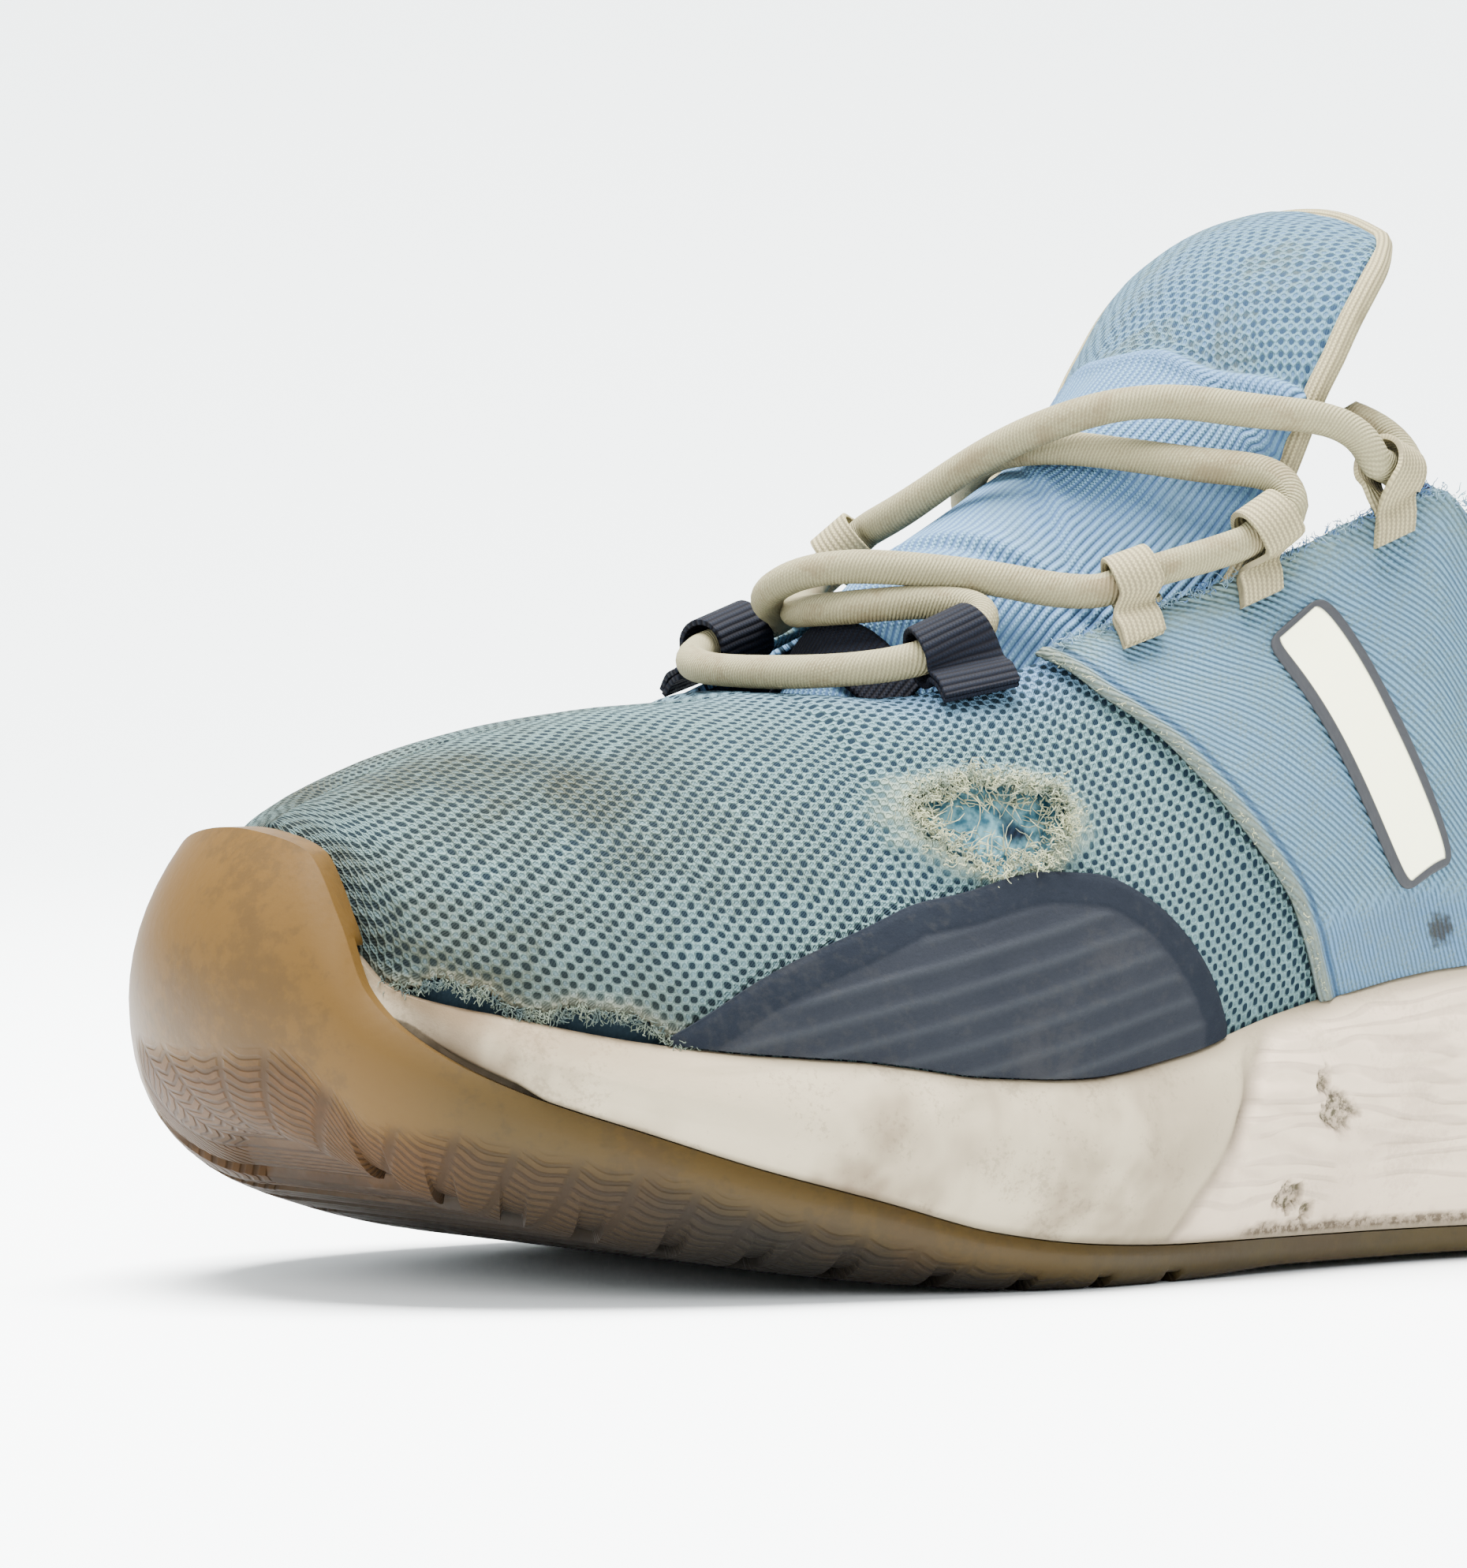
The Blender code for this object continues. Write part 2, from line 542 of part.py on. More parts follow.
def lace_knots():
    """The lace's route in order: each place, and the name of its loop where it runs through one."""
    knots = []
    for row in LACE:
        if row[0] == "at":
            knots.append((place(row[1] * MM, row[2] * MM, row[3] * MM), None))
        elif isinstance(row[0], str):
            _, _, _, along, across, height = LOOPS[row[0]]
            knots.append((place(along * MM, across * MM, height * MM), row[0]))
        else:
            run, w, lift = row
            knots.append((off_tongue(run / 1000, w / 1000, TONGUE_STEP + lift * MM), None))
    return knots


def lace_points():
    """Points of the route, straight through each loop, and each loop's middle with the lace's direction."""
    knots = lace_knots()
    points, held = [], {}
    for k, (middle, name) in enumerate(knots):
        if name is None:
            points.append(middle)
            continue
        direction = knots[min(k + 1, len(knots) - 1)][0] - knots[max(k - 1, 0)][0]
        direction /= np.linalg.norm(direction)
        reach = direction * (LOOPS[name][2] * MM / 2 + STRAIGHT)
        points += [middle - reach, middle, middle + reach]
        held[name] = (middle, direction)
        if k == 0:
            points.insert(0, middle - reach - direction * LACE_TAIL)
    return np.array(points), held


def build_loop(name, finish, collection):
    """A folded strip: up the side of the upper, over its edge, round the lace and back on itself."""
    side, station, width, *_ = LOOPS[name]
    station, half, lift = station * MM, width * MM / 2, LOOP_LIFT[name.split("_")[0]]
    middle, direction = lace_points()[1][name]
    edge = upper_point(station + 2 * MM, side, 1.0) - upper_point(station - 2 * MM, side, 1.0)
    edge /= np.linalg.norm(edge)
    direction = direction * math.copysign(1, direction @ edge)
    levels = (LOOP_FOOT, 0.92, 0.99)
    spine = [(off_upper(station, side, v, lift), upper_normal(station, side, v)) for v in levels]
    reach = middle - spine[-1][0]
    reach -= direction * (reach @ direction)
    reach /= np.linalg.norm(reach)
    away = np.cross(direction, reach)
    away *= math.copysign(1, away @ spine[-1][1])
    radius, leg = LACE_RADIUS + LOOP_SLACK + WEBBING / 2, (WEBBING + FIT) / 2
    path = [(point - normal * leg, edge) for point, normal in spine]
    path += [(middle + (reach * math.cos(a) + away * math.sin(a)) * radius, direction)
             for a in np.radians(np.linspace(-140, 140, 8))]
    path += [(point + normal * leg, edge) for point, normal in reversed(spine)]
    rows = []
    for k, (point, wide) in enumerate(path):
        ahead = path[min(k + 1, len(path) - 1)][0] - path[max(k - 1, 0)][0]
        thick = np.cross(wide, ahead)
        thick *= WEBBING / 2 / np.linalg.norm(thick)
        rows.append([point - wide * half - thick, point + wide * half - thick, point + wide * half + thick,
                     point - wide * half + thick])
    return loft(name, rows, finish, collection, caps=True)


def build_lace_tab(finish, collection):
    """Woven strip across the foot of the tongue."""
    rows = []
    low = TONGUE_STEP + 1.5 * FIT
    high = low + TAB
    for w in np.linspace(-0.62, 0.74, 9):
        rows.append([off_tongue(0.142, w, low), off_tongue(0.205, w, low), off_tongue(0.205, w, high),
                     off_tongue(0.142, w, high)])
    return loft("lace_tab", rows, finish, collection, caps=True)


def smooth_route(points, spacing):
    """Centripetal Catmull-Rom curve that keeps every point and adds even ones along each stretch."""
    points = np.vstack([2 * points[0] - points[1], points, 2 * points[-1] - points[-2]])
    knots = np.concatenate([[0], np.cumsum(np.linalg.norm(np.diff(points, axis=0), axis=1) ** 0.5)])
    curve = []
    for i in range(1, len(points) - 2):
        t0, t1, t2, t3 = knots[i - 1:i + 3]
        p0, p1, p2, p3 = points[i - 1:i + 3]
        parts = max(1, round(np.linalg.norm(p2 - p1) / spacing))
        for t in np.linspace(t1, t2, parts, endpoint=False):
            a1 = (t1 - t) / (t1 - t0) * p0 + (t - t0) / (t1 - t0) * p1
            a2 = (t2 - t) / (t2 - t1) * p1 + (t - t1) / (t2 - t1) * p2
            a3 = (t3 - t) / (t3 - t2) * p2 + (t - t2) / (t3 - t2) * p3
            b1 = (t2 - t) / (t2 - t0) * a1 + (t - t0) / (t2 - t0) * a2
            b2 = (t3 - t) / (t3 - t1) * a2 + (t - t1) / (t3 - t1) * a3
            curve.append((t2 - t) / (t2 - t1) * b1 + (t - t1) / (t2 - t1) * b2)
    return np.array(curve + [points[-2]])


def build_lace(finish, collection):
    route = smooth_route(lace_points()[0], LACE_SPACING)
    curve = bpy.data.curves.new("lace", "CURVE")
    curve.dimensions = "3D"
    curve.bevel_depth = LACE_RADIUS
    curve.bevel_resolution = 2
    curve.use_fill_caps = True
    spline = curve.splines.new("POLY")
    spline.points.add(len(route) - 1)
    for point, co in zip(spline.points, route):
        point.co = (*co, 1)
    curve.materials.append(finish)
    lace = bpy.data.objects.new("lace", curve)
    collection.objects.link(lace)
    return lace


def build():
    for old in list(bpy.data.objects):
        bpy.data.objects.remove(old)
    shoe = bpy.data.collections.new("running_shoe")
    bpy.context.scene.collection.children.link(shoe)
    gum = material("gum_rubber", (0.42, 0.24, 0.10), 0.55)
    foam = material("foam", (0.72, 0.66, 0.60), 0.75)
    mesh = material("vamp_mesh", (0.32, 0.47, 0.56), 0.9)
    knit = material("quarter_knit", (0.26, 0.42, 0.62), 0.9)
    overlay = material("navy_overlay", (0.05, 0.06, 0.12), 0.9)
    rib = material("tongue_knit", (0.28, 0.45, 0.68), 0.9)
    navy = material("navy_webbing", (0.03, 0.04, 0.10), 0.85)
    cord = material("cotton_cord", (0.68, 0.62, 0.50), 0.85)
    felt = material("insole_board", (0.30, 0.32, 0.36), 0.9)
    build_outsole(gum, shoe)
    build_midsole(foam, shoe)
    build_insole(felt, shoe)
    build_upper(mesh, shoe)
    build_quarter(knit, shoe)
    build_patch(overlay, shoe)
    build_tongue(rib, shoe)
    build_collar_lining(navy, shoe)
    build_lace_tab(navy, shoe)
    build_lace(cord, shoe)
    for name in LOOPS:
        build_loop(name, navy if name.startswith("tab") else cord, shoe)


build()
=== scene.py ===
"""Looks of a worn left running shoe: knitted upper, cord lace, foam midsole and gum rubber outsole.

"along" is measured from the back of the heel to the toe (-Y), "across" to the outer side (+X).
A station is a place on the sole's outline by how far along it lies; v runs up the upper from the foam (0)
to its top edge (1); run and w are the tongue's length (0 to 1) and width (-1 medial to 1).
Sizes are in metres through MM; knit and weave patterns are drawn in millimetres on each piece's own UV map.
"""
import math

import bmesh
import bpy
import numpy as np
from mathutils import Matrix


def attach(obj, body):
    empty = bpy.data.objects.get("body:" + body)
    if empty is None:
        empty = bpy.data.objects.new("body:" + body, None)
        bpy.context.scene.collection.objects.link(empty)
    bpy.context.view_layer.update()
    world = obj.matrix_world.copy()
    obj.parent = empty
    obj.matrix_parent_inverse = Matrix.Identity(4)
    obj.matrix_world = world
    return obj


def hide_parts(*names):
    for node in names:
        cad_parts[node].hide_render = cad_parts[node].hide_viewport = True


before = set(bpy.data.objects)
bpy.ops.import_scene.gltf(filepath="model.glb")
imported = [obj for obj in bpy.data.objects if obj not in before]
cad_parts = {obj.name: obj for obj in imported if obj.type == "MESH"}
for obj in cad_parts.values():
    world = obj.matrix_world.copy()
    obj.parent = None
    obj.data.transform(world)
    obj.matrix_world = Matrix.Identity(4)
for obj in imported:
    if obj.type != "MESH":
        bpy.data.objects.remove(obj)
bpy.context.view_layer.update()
rng = np.random.default_rng(5)

MM = 0.001
LENGTH = 290 * MM
HEEL_ROUND = 36 * MM       # reach of the rounding at each end of the sole
TOE_ROUND = 50 * MM
FIT = 0.3 * MM             # gap between neighbouring pieces
LIP = 1.5 * MM             # foam lip outside the upper
RUBBER = 3 * MM            # outsole under the foot
RUBBER_LIP = 2.5 * MM      # outsole where it wraps up the side
BUMPER_FADE, BUMPER_START = 264 * MM, 276 * MM       # stations between which the foam goes behind the bumper
FOAM_BEHIND = 4 * MM       # foam wall that shows, or stands behind the bumper
SOLE_FIT = 0.7 * MM        # gap between foam and rubber
HOOD = 3 * MM              # rubber that stands this far over the foam closes over it
# Stations of the grooves across the tread, in mm.
GROOVES = [22, 34, 46, 58, 70, 180, 192, 204, 216, 228, 239, 249.5, 259, 267.5, 275, 281.5]
GROOVE_WIDTH, GROOVE_DEPTH, GROOVE_WALL = 2.4 * MM, 1.6 * MM, 0.3 * MM
QUARTER_LIFT = 1.5 * MM    # outer face of the knitted quarter over the mesh
PATCH_LIFT = 1.4 * MM      # and of the overlay
TONGUE_PAD = 3.4 * MM      # thickness of the tongue
TONGUE_STEP = 1 * MM       # how far its sleeve stands off the net above it


class Table:
    """Rows under named columns, in mm, read at any place along the first column through a smooth curve."""

    def __init__(self, columns, rows):
        self.columns = columns.split()
        self.rows = np.array(rows, float) * MM

    def at(self, column, x):
        xs, ys = self.rows[:, 0], self.rows[:, self.columns.index(column)]
        step = np.diff(xs)
        slope = np.diff(ys) / step
        tangent = np.zeros(len(xs))
        w1, w2 = 2 * step[1:] + step[:-1], step[1:] + 2 * step[:-1]
        steady = slope[:-1] * slope[1:] > 0
        with np.errstate(divide="ignore", invalid="ignore"):
            mean = (w1 + w2) / (w1 / slope[:-1] + w2 / slope[1:])
        tangent[1:-1][steady] = mean[steady]
        tangent[0], tangent[-1] = slope[0], slope[-1]
        x = np.clip(np.asarray(x, float), xs[0], xs[-1])
        k = np.clip(np.searchsorted(xs, x) - 1, 0, len(xs) - 2)
        t = (x - xs[k]) / step[k]
        low, high = ys[k], ys[k + 1]
        leave, arrive = step[k] * tangent[k], step[k] * tangent[k + 1]
        return (low + t * leave + t * t * (3 * (high - low) - 2 * leave - arrive)
                + t**3 * (2 * (low - high) + leave + arrive))


# Centre line and half width of the sole's outline, before its ends are rounded.
OUTLINE = Table("along centre half", [
    (0, 0, 36), (30, 0.5, 39.5), (66, 2, 39.5), (104, 3.5, 38.5), (134, 4, 39), (160, 4, 42),
    (178, 2.5, 47), (198, 0.3, 52), (212, -1.2, 52.8), (229, -2.6, 51), (246, -3.2, 47.5),
    (261, -3.6, 44.5), (276, -3.8, 43), (290, -3.6, 41.5)])

# Tread surface: rounded heel, flat heel rest, low arch, flat forefoot rest, toe spring.
GROUND = Table("along height", [
    (0, 12), (8, 4), (18, 1), (30, 0), (62, 0), (98, 0.4), (134, 1.0), (160, 1.0), (176, 0.2), (184, 0),
    (200, 0), (212, 0.7), (226, 2.2), (240, 4.4), (252, 7.2), (262, 10.2), (270, 14), (277, 19), (290, 30)])

# Side of the sole by station: top of the rubber and of the foam on each side (_l lateral, _m medial),
# how far in from the outline the rubber's top, the foam's top, the tread's edge and the rubber's widest
# line (belt) lie, the height of that belt, and the height of the bed under the foot.
SIDE = Table("along rubber_l rubber_m foam_l foam_m low_in top_in tread_in belt_in belt bed", [
    (0, 12, 12, 48, 48, 1, 7, 9, 1, 9, 36),
    (12, 7, 7, 46.5, 47, 1, 6.5, 8, 1, 5, 35.5),
    (26, 5, 5, 44.5, 45.5, 1, 6, 7, 1, 3.6, 34),
    (62, 4.2, 4.2, 41, 43, 1.5, 5, 5, 1.5, 3, 31),
    (98, 3.8, 4, 38.3, 42, 3, 4, 5, 3, 2.8, 29),
    (134, 4.2, 5, 36.2, 41, 3.5, 3, 5, 3.5, 3.2, 26),
    (160, 4.4, 5, 31.8, 36, 3.5, 3, 5, 3.5, 3.2, 22.5),
    (178, 4.6, 4.8, 27.4, 31, 3.5, 3.5, 6, 3.3, 3.4, 20),
    (196, 5.6, 6, 25.2, 28, 3.3, 3.5, 8, 2.8, 4.2, 18.5),
    (210, 7.6, 9, 25.8, 27.5, 2.8, 3.5, 11, 2.2, 6, 18.5),
    (226, 12, 13, 28, 28, 2.2, 4, 14, 1.6, 10, 20),
    (241, 16.2, 16.5, 29.3, 29.3, 1.6, 4, 16, 1, 13.5, 22),
    (254, 20.6, 21, 31, 31, 1.2, 4, 17, 0.6, 17.5, 24),
    (268, 26, 26.5, 34, 34, 1, 4, 17, 0.3, 22.5, 27),
    (276.5, 31.3, 32, 36, 36, 1, 4.5, 17, 0, 27.5, 29),
    (281, 37, 37, 38, 38, 2, 7, 16, 0, 31, 30.5),
    (283.5, 45, 45, 41, 41, 4, 8.2, 15, 0, 34, 31.5),
    (286.5, 53, 53, 44, 44, 6, 9.6, 14, 0, 36, 33),
    (290, 55.5, 55.5, 46, 46, 7.2, 10.6, 13, 0, 37, 34)])

# Upper by station: where the section that stands there ends at the top (top_along, moved by skew towards
# the toe on the medial side; top_c and top_half across; top_z), how steeply it leaves the sole (up, in
# thousandths of its height; out, in mm) and how flatly it arrives at the top (spread, drop, in thousandths).
UPPER = Table("along top_along skew top_c top_half top_z up out spread drop", [
    (0, 3, 0, 0, 25, 98, 450, 2, 0, 300),
    (30, 22, 0, 0, 28, 91, 400, 3, 100, 300),
    (62, 50, 0, 1, 31, 80, 330, 2, 100, 300),
    (96, 90, 1, 2, 32, 77.5, 330, 1, 200, 250),
    (118, 112, 2, 2, 32, 82, 330, 1, 250, 250),
    (130, 126, 3, 2, 31, 88.5, 330, 1, 300, 250),
    (137, 134, 4, 2, 30, 94.8, 330, 1, 330, 230),
    (145, 143, 4.5, 2, 28.5, 92, 330, 1, 350, 220),
    (160, 160, 5, 2, 27, 85, 330, 2, 400, 200),
    (178, 180, 4, 1, 25, 77.5, 330, 2, 450, 150),
    (196, 195, 3, 1, 23, 72.3, 350, 2, 500, 100),
    (212, 205, 1, 0, 21, 70.3, 400, 2, 560, 30),
    (219, 209, 0, 0, 20, 70, 450, 2, 620, 0),
    (238, 232, 0, -2, 20, 68.6, 500, 2, 620, 0),
    (256, 250, 0, -3, 20, 65.8, 500, 2, 600, 0),
    (272, 264, 0, -4, 20, 61.4, 550, 1, 550, 0),
    (283, 273, 0, -4, 20, 57.8, 600, 0.5, 500, 0),
    (290, 277.2, 0, -3.6, 20, 55.9, 600, 0.5, 450, 0)])
THROAT = 219 * MM          # station of the section that closes the throat
THROAT_ROUND = 16 * MM     # reach of the throat's rounding

# Tongue by run, from its root under the throat (0) to its tip (1000), each row a section across it.
TONGUE = Table("run along height half drop back", [
    (0, 215, 57, 14, 3, 0),
    (70, 208, 62.5, 15, 6, 1),
    (130, 202, 70.2, 16, 11.5, 2),
    (260, 192.5, 82.8, 19.5, 15.8, 4),
    (420, 178, 91.8, 22, 18.3, 6),
    (580, 164, 100.4, 23.5, 19.9, 5),
    (700, 153, 110.8, 25, 16.8, 2),
    (820, 144, 122, 26, 13, 0),
    (910, 137, 127.2, 25, 8, 0),
    (970, 130.5, 129.6, 21.5, 5, 0),
    (1000, 126, 130.3, 16, 3, 0)])

# Lace loops: side, the station where each is sewn down, its width, and the middle of the cord it holds.
LOOPS = {
    "tab_loop_lateral": (1, 200, 10, 196, 20.6, 76.4),
    "lace_loop_lateral_1": (1, 175, 6, 172.6, 27, 84.2),
    "lace_loop_lateral_2": (1, 161, 6, 155.6, 31.8, 90.6),
    "lace_loop_lateral_3": (1, 143, 5.6, 137, 32.6, 97.6),
    "tab_loop_medial": (-1, 200, 10, 199.5, -20.6, 76.4),
    "lace_loop_medial_1": (-1, 178, 6, 184, -17, 87.5),
    "lace_loop_medial_2": (-1, 147, 6, 149.6, -30, 97)}
LOOP_FOOT = 0.84           # v where the loops are sewn down
LOOP_LIFT = {"lace": 3.3 * MM, "tab": 2.3 * MM}   # how far their middle stands off the upper
WEBBING = 0.7 * MM
LOOP_SLACK = 1.0 * MM       # between a loop and its cord
LACE_RADIUS = 2.2 * MM
STRAIGHT = 1.6 * MM        # how far the lace runs straight on from a loop
LACE_TAIL = 1 * MM         # what the lace shows past its last loop
# The lace from its medial end to its lateral end: the loops it runs through, places over the tongue (run and
# w in thousandths, lift of the cord's middle above the sleeve in mm), and places in the open ("at", along,
# across, height).
LACE = [
    ("lace_loop_medial_2",), (625, -900, 3.6), (555, -600, 3), (505, -150, 3), (545, 220, 2.8),
    (593, 510, 2.8), (637, 680, 3), (662, 830, 4), ("at", 150.4, 30.6, 98), ("lace_loop_lateral_2",),
    ("lace_loop_lateral_1",), (392, 800, 4.6), (335, 620, 4.2), (275, 440, 5.2), (240, 200, 7),
    (216, -100, 8.8), (205, -380, 8.2), ("at", 191, -17.6, 79.4), ("tab_loop_medial",),
    ("at", 209.5, -15.5, 73.5), ("at", 210.5, -8, 73), ("at", 209.8, 2, 72.9), ("at", 208.4, 10, 73),
    ("at", 205.4, 16.6, 73.6), ("tab_loop_lateral",), ("at", 187, 19.2, 81.2), (285, 620, 3.6),
    (250, 460, 3.2), (205, 200, 3.9), (202, -150, 3.9), (228, -480, 3.6), ("at", 191, -15.5, 82),
    ("lace_loop_medial_1",), (384, -290, 3.2), (430, -190, 3.4), (472, 60, 5.2), (540, 280, 7.8),
    (607, 420, 9), (665, 570, 6.6), (707, 740, 4.6), (738, 880, 4), ("at", 141.5, 32.6, 103.5),
    ("lace_loop_lateral_3",), ("at", 130.6, 29.5, 99.5), ("at", 132, 25.5, 103.5), ("at", 136.5, 22, 104.5)]

# Where the knitted quarter meets the mesh: station of its front edge by the section's v (thousandths).
QUARTER_SEAM = Table("v station", [
    (0, 154.5), (185, 158.4), (439, 167.6), (632, 175), (792, 182.1), (1000, 188.5)])
# Upper edge of the overlay patch at the lateral forefoot: v (thousandths) by station.
PATCH_EDGE = Table("station v", [
    (170.6, 30), (172.2, 110), (176, 225), (183, 350), (191, 420), (199, 431), (213, 362), (226, 252),
    (239, 150), (247, 60), (250.5, 20)])

# ---------------------------------------------------------------- form of the shoe

def place(along, across, height):
    along, across, height = np.broadcast_arrays(along, across, height)
    return np.stack([across, LENGTH / 2 - along, height], -1).astype(float)


def end_round(distance, reach, power=2.0):
    """Grows from 0 at an end to 1 at its reach, as a superellipse does."""
    d = np.clip(distance / reach, 0, 1)
    return (1 - (1 - d) ** power) ** (1 / power)


def outline(turn):
    """Along and across of the sole's outline, by angle: 0 at the heel, pi at the toe, lateral side first."""
    along = LENGTH / 2 * (1 - np.cos(turn))
    rounding = end_round(along, HEEL_ROUND) * end_round(LENGTH - along, TOE_ROUND, 2.1)
    half = OUTLINE.at("half", along) * rounding
    return along, OUTLINE.at("centre", along) + np.where(np.sin(turn) >= 0, half, -half)


def turn_at(station):
    return np.arccos(np.clip(1 - 2 * np.asarray(station, float) / LENGTH, -1, 1))


def station_at(turn):
    return LENGTH / 2 * (1 - np.cos(turn))


def rim_point(station, side, inset, height):
    """A place inset from the outline, square to it; side is 1 (lateral) or -1 (medial)."""
    turn = side * turn_at(station)
    step = 0.004
    along, across = outline(turn)
    along0, across0 = outline(turn - step)
    along1, across1 = outline(turn + step)
    forward, outward = along1 - along0, across1 - across0
    length = np.hypot(forward, outward)
    return place(along + inset * outward / length, across - inset * forward / length, height)


def side_value(column, station, side):
    return np.where(side > 0, SIDE.at(column + "_l", station), SIDE.at(column + "_m", station))


def upper_point(station, side, v):
    """Outer surface of the upper."""
    station, side, v = np.broadcast_arrays(np.asarray(station, float), side, np.asarray(v, float))
    foot = rim_point(station, side, SIDE.at("top_in", station) + LIP + FIT, side_value("foam", station, side))
    outward = rim_point(station, side, -1.0, 0) - rim_point(station, side, 0.0, 0)
    rounding = end_round(station, HEEL_ROUND) * end_round(THROAT - station, THROAT_ROUND)
    half = UPPER.at("top_half", station) * rounding
    top = place(UPPER.at("top_along", station) - side * UPPER.at("skew", station),
                UPPER.at("top_c", station) + side * half, UPPER.at("top_z", station))
    up, spread, drop = (UPPER.at(column, station)[..., None] for column in ("up", "spread", "drop"))
    rise = (top - foot) * [0, 0, 1]
    flat = (foot - top) * [1, 1, 0]
    low = foot + outward * UPPER.at("out", station)[..., None] + rise * up
    high = top + flat * spread - rise * drop
    v = v[..., None]
    return (1 - v)**3 * foot + 3 * v * (1 - v)**2 * low + 3 * v**2 * (1 - v) * high + v**3 * top


def unit(vectors):
    return vectors / np.maximum(np.linalg.norm(vectors, axis=-1, keepdims=True), 1e-12)


def upper_normal(station, side, v):
    ds, dv = 0.4 * MM, 0.004
    station = np.clip(station, ds, LENGTH - ds)
    along_it = upper_point(station + ds, side, v) - upper_point(station - ds, side, v)
    up_it = upper_point(station, side, np.asarray(v) + dv) - upper_point(station, side, np.asarray(v) - dv)
    return unit(np.cross(up_it, along_it) * np.asarray(side)[..., None])


def off_upper(station, side, v, distance):
    return upper_point(station, side, v) + upper_normal(station, side, v) * np.asarray(distance)[..., None]


def tongue_point(run, w):
    bend = np.abs(w) ** 2.2
    return place(TONGUE.at("along", run) - TONGUE.at("back", run) * bend,
                 1 * MM + TONGUE.at("half", run) * w,
                 TONGUE.at("height", run) - TONGUE.at("drop", run) * bend)


def tongue_normal(run, w):
    d = 0.004
    low, high = np.maximum(run - d, 0.0), np.minimum(run + d, 1.0)
    across_it = tongue_point(run, w + d) - tongue_point(run, w - d)
    return unit(np.cross(across_it, tongue_point(high, w) - tongue_point(low, w)))


def off_tongue(run, w, distance):
    return tongue_point(run, w) + tongue_normal(run, w) * np.asarray(distance)[..., None]


def ease(x, low, high):
    """0 below low, 1 above high, smooth between (low may be the larger)."""
    t = np.clip((np.asarray(x, float) - low) / (high - low), 0, 1)
    return t * t * (3 - 2 * t)


def ripple(x, y, seed, size):
    """Soft noise from a few crossed waves, about -1 to 1; size is the length of its largest wave."""
    waves = np.random.default_rng(seed)
    total = 0.0
    for octave in range(7):
        angle, phase = waves.uniform(0, math.tau, 2)
        length = size / (1 + octave * 0.8)
        run = (x * math.cos(angle) + y * math.sin(angle)) * math.tau / length
        total = total + np.sin(run + phase) / (1 + octave * 0.4)
    return total / 3


# ---------------------------------------------------------------- making pieces

def walked_along(route):
    """How far each point lies along a route."""
    return np.concatenate([[0], np.cumsum(np.linalg.norm(np.diff(route, axis=0), axis=1))])


def fit_uv(points):
    """Lengths in mm along the two directions of a grid of points, for its knit."""
    vs = np.linalg.norm(np.diff(points, axis=1), axis=-1)
    u = walked_along(points[:, points.shape[1] // 2])
    v = np.concatenate([np.zeros((len(points), 1)), np.cumsum(vs, axis=1)], axis=1)
    return np.stack([np.broadcast_to(u[:, None], v.shape), v], -1) / MM


def add_wall(piece, thickness, offset):
    wall = piece.modifiers.new("wall", "SOLIDIFY")
    wall.thickness = thickness
    wall.offset = offset
    return wall


def sheet(name, points, finish, uv=None, masks=None, keep=None, weld=False, thickness=0.0,
          flip=False, closed=False, inside=None):
    """A piece from a grid of points; masks become attributes, keep says which grid points' faces stay."""
    columns, rows = points.shape[:2]
    bm = bmesh.new()
    bmesh.ops.create_grid(bm, x_segments=columns - 1, y_segments=rows - 1, size=0.5)
    flat = np.array([vert.co for vert in bm.verts])
    i = np.rint((flat[:, 0] - flat[:, 0].min()) / np.ptp(flat[:, 0]) * (columns - 1)).astype(int)
    j = np.rint((flat[:, 1] - flat[:, 1].min()) / np.ptp(flat[:, 1]) * (rows - 1)).astype(int)
    mesh = bpy.data.meshes.new(name)
    bm.to_mesh(mesh)
    bm.free()
    mesh.vertices.foreach_set("co", points[i, j].astype(np.float32).ravel())
    uv = fit_uv(points) if uv is None else uv
    corner = np.empty(len(mesh.loops), np.int32)
    mesh.loops.foreach_get("vertex_index", corner)
    layer = mesh.uv_layers.new(name="knit")
    layer.data.foreach_set("uv", uv[i, j][corner].astype(np.float32).ravel())
    for label, values in (masks or {}).items():
        mask = mesh.attributes.new(label, "FLOAT", "POINT")
        mask.data.foreach_set("value", np.broadcast_to(values, (columns, rows))[i, j].astype(np.float32))
    bm = bmesh.new()
    bm.from_mesh(mesh)
    if keep is not None:
        stays = np.broadcast_to(keep, (columns, rows))[i, j]
        bm.verts.ensure_lookup_table()
        bmesh.ops.delete(bm, geom=[vert for vert in bm.verts if not stays[vert.index]], context="VERTS")
    if weld:
        bmesh.ops.remove_doubles(bm, verts=bm.verts, dist=0.01 * MM)
    if flip:
        bmesh.ops.reverse_faces(bm, faces=bm.faces)
    if closed:
        bmesh.ops.recalc_face_normals(bm, faces=bm.faces)
    bm.to_mesh(mesh)
    bm.free()
    mesh.shade_smooth()
    piece = bpy.data.objects.new(name, mesh)
    bpy.context.scene.collection.objects.link(piece)
    mesh.materials.append(finish)
    if thickness:
        wall = add_wall(piece, thickness, -1)
        if inside:
            mesh.materials.append(inside)
            wall.material_offset = 1
    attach(piece, "root")
    return piece


def sweep_frames(route):
    """Tangents and two square directions carried along a route without twisting."""
    tangent = unit(np.gradient(route, axis=0))
    side = np.zeros_like(route)
    first = np.cross(tangent[0], [0, 0, 1.0])
    side[0] = unit(first if np.linalg.norm(first) > 0.1 else np.cross(tangent[0], [1.0, 0, 0]))
    for k in range(1, len(route)):
        side[k] = unit(side[k - 1] - tangent[k] * (side[k - 1] @ tangent[k]))
    return tangent, side, np.cross(tangent, side)


